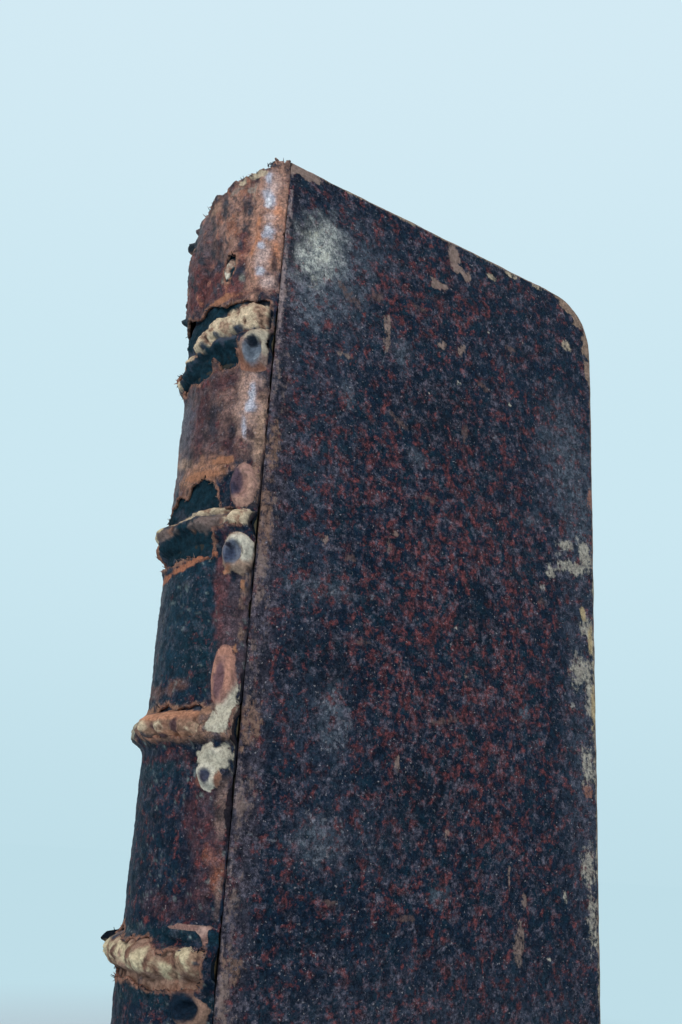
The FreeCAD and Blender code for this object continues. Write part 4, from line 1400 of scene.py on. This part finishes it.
def build_cover_leather(side, painter, material, step, seed):
    """One cover's leather: its outer face, its rolled edges and the turned-in edges inside."""
    sign = -1 if side == "front" else 1
    u, v = cover_face(step)
    loop = edge_loop(u.shape)
    loop_u, loop_v = u.ravel()[loop], v.ravel()[loop]
    away_u, away_v = edge_directions(loop_u, loop_v)
    wear = 0.22 * rough(loop_u, loop_v, 5.0, seed)
    from_end = np.minimum(loop_v, HEIGHT - loop_v)
    corner = np.exp(-(((COVER_WIDTH - loop_u) / 9) ** 2) - (from_end / 11) ** 2)
    wear = wear - 0.5 * corner * (1 + rough(loop_u, loop_v, 2.5, seed + 1))

    rings = edge_rings()
    inward = -0.25 * np.exp(-(((u - HINGE_CLEARANCE) / 0.7) ** 2))
    face_rise = 0.1 * rough(u, v, 6.0, seed + 3) + 0.05 * rough(u, v, 1.6, seed + 4) + inward * 1.6
    all_u, all_v = [u.ravel()], [v.ravel()]
    all_in = [np.maximum(-face_rise, -0.2).ravel()]
    edge_share = [np.zeros(u.size)]
    faces = [grid_faces(*u.shape)]
    before = loop
    start = u.size
    for number, (out, inner) in enumerate(rings):
        spread = wear * min(1, max(0, out) / EDGE_ROUND) if inner < COVER_THICKNESS else 0.0
        all_u.append(loop_u + away_u * (out + spread))
        all_v.append(loop_v + away_v * (out + spread))
        all_in.append(np.full(loop.size, inner) + 0.03 * lumps(loop_u, loop_v, 3.0, seed + number))
        edge_share.append(np.full(loop.size, 1.0 if inner < COVER_THICKNESS else 0.45))
        after = np.arange(start, start + loop.size)
        faces.append(np.stack([before[:-1], before[1:], after[1:], after[:-1]], axis=-1))
        before, start = after, start + loop.size
    u, v, inner = np.concatenate(all_u), np.concatenate(all_v), np.concatenate(all_in)
    share = np.concatenate(edge_share)
    faces = np.concatenate(faces)
    paint = painter(u, v)
    corner = np.exp(-((v / 16) ** 2) - ((COVER_WIDTH - u) / 16) ** 2)
    rub = 0.55 + 0.3 * lumps(u, v, 6.0, seed + 40) + 0.35 * corner
    paint.lay(TAN, share * np.clip(rub, 0, 1) * (share > 0.5) + 0.25 * share)
    points = np.stack([HINGE_X + u, sign * (HALF - inner), HEIGHT - v], axis=-1)
    if sign > 0:
        faces = faces[:, ::-1]
    colours = {"ground": paint.ground, "scuff": paint.scuff}
    piece = make_piece(f"{side}_cover_calf", points, faces, material, colours)
    thicken(piece, 0.4)
    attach(piece, f"{side}_cover")
    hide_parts(f"{side}_cover_leather")


# Pages and endbands


def around(grid):
    """A grid's outer values in order: first row, last column, last row back, first column back."""
    return np.concatenate([grid[0, :], grid[1:, -1], grid[-1, -2::-1], grid[-2:0:-1, 0]])


def build_pages(material):
    """The leaves as one block, with their edges showing as fine ridges at head, tail and fore-edge."""
    low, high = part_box("text_block")
    front_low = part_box("front_flyleaf")[1]
    side_y = -front_low.y / MM
    fore_x = high.x / MM
    page_radius = AXIS_X - low.x / MM
    leaves = 108
    across = np.linspace(-1, 1, leaves)
    y = across * side_y
    tip_y = math.sqrt(page_radius**2 - (AXIS_X - HINGE_X) ** 2)
    back_y = np.clip(across * tip_y * 1.02, -tip_y, tip_y)
    back_x = AXIS_X - np.sqrt(page_radius**2 - back_y**2)
    fore_radius = (side_y**2 + FORE_HOLLOW**2) / (2 * FORE_HOLLOW)
    hollow = np.sqrt(fore_radius**2 - y**2) - (fore_radius - FORE_HOLLOW)
    end_x = fore_x - hollow
    along = np.concatenate([[0, 0.012, 0.03, 0.06], np.linspace(0.1, 1, 26)])
    fan = ease(0.0, 0.06, along)[:, None]
    x = back_x[None, :] + (end_x - back_x)[None, :] * along[:, None]
    spread_y = back_y[None, :] * (1 - fan) + y[None, :] * fan
    leaf = np.arange(leaves)
    gathering = 0.1 * np.abs(np.sin(leaf * math.pi / 9))
    ridge = gathering + 0.07 * np.random.default_rng(9).uniform(-1, 1, leaves)
    bottom, top = low.z / MM, high.z / MM
    sag = 0.12 * lumps(x, spread_y, 18.0, 52)
    head = top + ridge[None, :] * 0.9 + sag - 0.1
    tail = bottom - ridge[None, :] * 0.9 + 0.1 + 0.5 * sag
    levels = np.linspace(0, 1, 60)
    ring_x, ring_y = around(x), around(spread_y)
    ring_head, ring_tail = around(head), around(tail)
    side = np.zeros(len(along) - 1)
    ring_leaf = np.concatenate([leaf * 0, side, leaf[-2::-1] + 1, side[1:]])
    loop = around(np.arange(x.size).reshape(x.shape))
    points = [np.stack([x, spread_y, head], axis=-1).reshape(-1, 3)]
    points.append(np.stack([x, spread_y, tail], axis=-1).reshape(-1, 3))
    faces = [grid_faces(*x.shape), grid_faces(*x.shape, flip=True) + x.size]
    before = loop
    start = 2 * x.size
    wave = np.where(ring_leaf > 0, ridge[np.maximum(ring_leaf.astype(int) - 1, 0)], 0.0)
    for level in levels[1:-1]:
        height = ring_head * (1 - level) + ring_tail * level
        push = wave * 0.8 + np.where(ring_leaf > 0, 0.15 * lumps(ring_leaf * 0.4, height, 16.0, 66), 0.0)
        points.append(np.stack([ring_x + push - 0.1 * (ring_leaf > 0), ring_y, height], axis=-1))
        after = np.arange(start, start + loop.size)
        faces.append(np.stack([before, np.roll(before, -1), np.roll(after, -1), after], axis=-1))
        before, start = after, start + loop.size
    last = loop + x.size
    faces.append(np.stack([before, np.roll(before, -1), np.roll(last, -1), last], axis=-1))
    piece = make_piece("leaves", np.concatenate(points), np.concatenate(faces), material, smooth=False)
    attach(piece, "pages_and_spine")
    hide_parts("text_block")


def build_endband(name, node, material):
    """Thread wound round a core, in two faded colours."""
    low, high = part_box(node)
    height = (low.z + high.z) / 2 / MM
    radius = AXIS_X - low.x / MM - ENDBAND_RADIUS
    turns = 46
    angle = np.radians(np.linspace(-ENDBAND_HALF_ANGLE, ENDBAND_HALF_ANGLE, turns * 6 + 1))
    round_core = np.linspace(0, 2 * math.pi, 19)[:-1]
    along, turn = np.meshgrid(angle, round_core, indexing="ij")
    winding = np.abs(np.sin(math.pi * turns * (along / angle[-1] + 1) / 2 + 0.25 * turn))
    size = (ENDBAND_RADIUS - 0.28) + 0.24 * winding + 0.04 * lumps(along * 60, turn * 3, 2.0, 3)
    out = radius + size * np.cos(turn)
    x, y = AXIS_X - out * np.cos(along), out * np.sin(along)
    points = np.stack([x, y, height + size * np.sin(turn)], axis=-1)
    rows, columns = along.shape
    index = np.arange(rows * columns).reshape(rows, columns)
    closed = np.concatenate([index, index[:, :1]], axis=1)
    corners = [closed[:-1, :-1], closed[:-1, 1:], closed[1:, 1:], closed[1:, :-1]]
    faces = np.stack(corners, axis=-1).reshape(-1, 4)
    ends = [points[0].mean(axis=0), points[-1].mean(axis=0)]
    cap_low = np.stack([np.full(columns, rows * columns), closed[0, 1:], closed[0, :-1]], axis=-1)
    cap_high = np.stack([np.full(columns, rows * columns + 1), closed[-1, :-1], closed[-1, 1:]], axis=-1)
    band = np.floor(turns * (along / angle[-1] + 1) / 2 / 3) % 2
    colour = np.where(band[..., None] > 0, linear((176, 152, 108)), linear((112, 82, 62)))
    ground = np.append(colour, np.ones(band.shape + (1,)), axis=-1).reshape(-1, 4)
    ground = np.concatenate([ground, np.ones((2, 4))])
    mesh_faces = faces.tolist() + cap_low.tolist() + cap_high.tolist()
    all_points = np.concatenate([points.reshape(-1, 3), ends])
    piece = link_mesh(name, all_points, mesh_faces, material, {"ground": ground})
    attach(piece, "pages_and_spine")
    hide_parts(node)


# Scene


def axes_matrix(right, up, back, place):
    """A world matrix from an object's own axes and its place in metres."""
    rows = np.stack([right, up, back], axis=-1)
    return Matrix([[*rows[i], place[i]] for i in range(3)] + [[0, 0, 0, 1]])


def place_camera():
    """The photograph's view: low, in front of the spine's front edge and looking up along it."""
    yaw, pitch, roll = 0.60338, 0.321588, 0.064847
    forward = np.array([math.sin(yaw), math.cos(yaw), 0])
    right = np.array([math.cos(yaw), -math.sin(yaw), 0])
    up = np.array([0, 0, 1.0])
    view = forward * math.cos(pitch) + up * math.sin(pitch)
    lifted = up * math.cos(pitch) - forward * math.sin(pitch)
    image_right = right * math.cos(roll) + lifted * math.sin(roll)
    image_up = lifted * math.cos(roll) - right * math.sin(roll)
    data = bpy.data.cameras.new("camera")
    data.sensor_fit = "VERTICAL"
    data.sensor_height = 36.0
    data.lens = 36.06
    data.clip_start = 0.01
    camera = bpy.data.objects.new("camera", data)
    place = np.array([HINGE_X - 84.87, -HALF - 147.95, HEIGHT - 128.65]) * MM
    camera.matrix_world = axes_matrix(image_right, image_up, -view, place)
    bpy.context.scene.collection.objects.link(camera)
    bpy.context.scene.camera = camera


def add_lamp(name, place, aim, size, watts, colour):
    """A round soft lamp, placed and aimed in metres."""
    data = bpy.data.lights.new(name, "AREA")
    data.shape = "DISK"
    data.size = size
    data.energy = watts
    data.color = colour
    lamp = bpy.data.objects.new(name, data)
    direction = np.array(aim, float) - np.array(place, float)
    back = -direction / np.linalg.norm(direction)
    side = np.cross([0, 0, 1.0], back)
    side /= np.linalg.norm(side)
    lamp.matrix_world = axes_matrix(side, np.cross(back, side), back, place)
    bpy.context.scene.collection.objects.link(lamp)


def seen_directly(tree):
    """1 for rays of the camera, also by way of a mirror or glass, and 0 for light on the book."""
    rays = add(tree, "ShaderNodeLightPath").outputs
    through = calc(tree, "MAXIMUM", rays["Is Glossy Ray"], rays["Is Transmission Ray"])
    return calc(tree, "MAXIMUM", rays["Is Camera Ray"], through)


def sky_colour(tree, height):
    """The pale blue backdrop, by the height of the line of sight."""
    low, middle, high = solid_colour(SKY_LOW), solid_colour((203, 231, 241)), solid_colour(
        (211, 234, 244),
    )
    colour = mix(tree, smooth_step(tree, -0.08, 0.34, height), low, middle)
    return mix(tree, smooth_step(tree, 0.35, 0.75, height), colour, high)


def build_world():
    """A plain backdrop for the camera, and dimmer, even light for everything else."""
    world = bpy.data.worlds.new("studio")
    bpy.context.scene.world = world
    world.use_nodes = True
    tree = world.node_tree
    tree.nodes.clear()
    direction = add(tree, "ShaderNodeTexCoord").outputs["Generated"]
    height = add(tree, "ShaderNodeSeparateXYZ", {"Vector": direction}).outputs["Z"]
    backdrop = add(tree, "ShaderNodeBackground", {"Color": sky_colour(tree, height), "Strength": 1.0})
    light = add(tree, "ShaderNodeBackground", {"Color": (0.9, 0.95, 1.0, 1), "Strength": 0.38})
    both = add(
        tree, "ShaderNodeMixShader",
        {"Fac": seen_directly(tree), 1: light.outputs[0], 2: backdrop.outputs[0]},
    )
    out = add(tree, "ShaderNodeOutputWorld")
    tree.links.new(both.outputs[0], out.inputs["Surface"])


def build_floor():
    """A plain pale floor that fades into the backdrop's colour further out."""
    material, tree, shader = new_material("pale_floor")
    shader.inputs["Base Color"].default_value = solid_colour((196, 214, 222))
    shader.inputs["Roughness"].default_value = 0.9
    place = add(tree, "ShaderNodeTexCoord").outputs["Object"]
    away = add(tree, "ShaderNodeVectorMath", {0: place}, operation="LENGTH").outputs["Value"]
    plain = add(tree, "ShaderNodeEmission", {"Color": solid_colour(SKY_LOW), "Strength": 1.0})
    share = calc(tree, "MULTIPLY", smooth_step(tree, 0.14, 0.3, away), seen_directly(tree))
    both = add(tree, "ShaderNodeMixShader", {"Fac": share, 1: shader.outputs[0], 2: plain.outputs[0]})
    tree.links.new(both.outputs[0], tree.nodes["Material Output"].inputs["Surface"])
    bpy.ops.mesh.primitive_circle_add(vertices=128, radius=6.0, fill_type="NGON", location=(0, 0, 0))
    floor = bpy.context.object
    floor.name = "floor"
    floor.data.materials.append(material)


place_camera()
build_world()
build_floor()
add_lamp("key", (-0.62, -0.34, 0.52), (-0.02, 0, 0.11), 0.4, 5.0, (1.0, 0.985, 0.96))
add_lamp("fill", (0.35, -0.7, 0.42), (0, 0, 0.1), 0.6, 2.0, (0.95, 0.97, 1.0))
add_lamp("back", (0.1, 0.75, 0.55), (0, 0, 0.1), 0.6, 1.6, (0.97, 0.98, 1.0))

cover_calf = leather_material("cover_calf", 3.0, 2.6, 1.0, 3.0)
spine_calf = leather_material("spine_calf", 11.0, 2.0, 0.55, 1.8)
torn_lining = fibre_material("torn_lining", (66, 56, 52))
thread = fibre_material("endband_thread", (66, 48, 40), 0.4)
paper = paper_material("rag_paper", 5.0, PAPER, (186, 158, 112))
hemp = fibre_material("hemp_cord", (58, 48, 40), 0.7, (136, 120, 96))

torn_edges = build_spine_leather(spine_calf)
build_fibres(torn_edges, torn_lining)
for number, middle in enumerate(BAND_DEPTHS):
    build_under_layer(number, middle, torn_lining)
build_cover_leather("front", paint_front, cover_calf, 0.64, 500)
build_cover_leather("back", paint_back, cover_calf, 0.8, 600)
build_pages(page_edge_material())
build_endband("head_winding", "head_endband", thread)
build_endband("tail_winding", "tail_endband", thread)

plain_materials = {
    "front_flyleaf": paper,
    "back_flyleaf": paper,
    "front_pastedown": paper,
    "back_pastedown": paper,
    "spine_linings": paper_material("lining_paper", 21.0, (58, 62, 66), (40, 46, 54)),
    "front_board": board_material(),
    "back_board": board_material(),
    "front_cord_slips": hemp,
    "back_cord_slips": hemp,
}
for node, material in plain_materials.items():
    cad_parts[node].data.materials.clear()
    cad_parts[node].data.materials.append(material)

bpy.context.scene.view_settings.view_transform = "Standard"
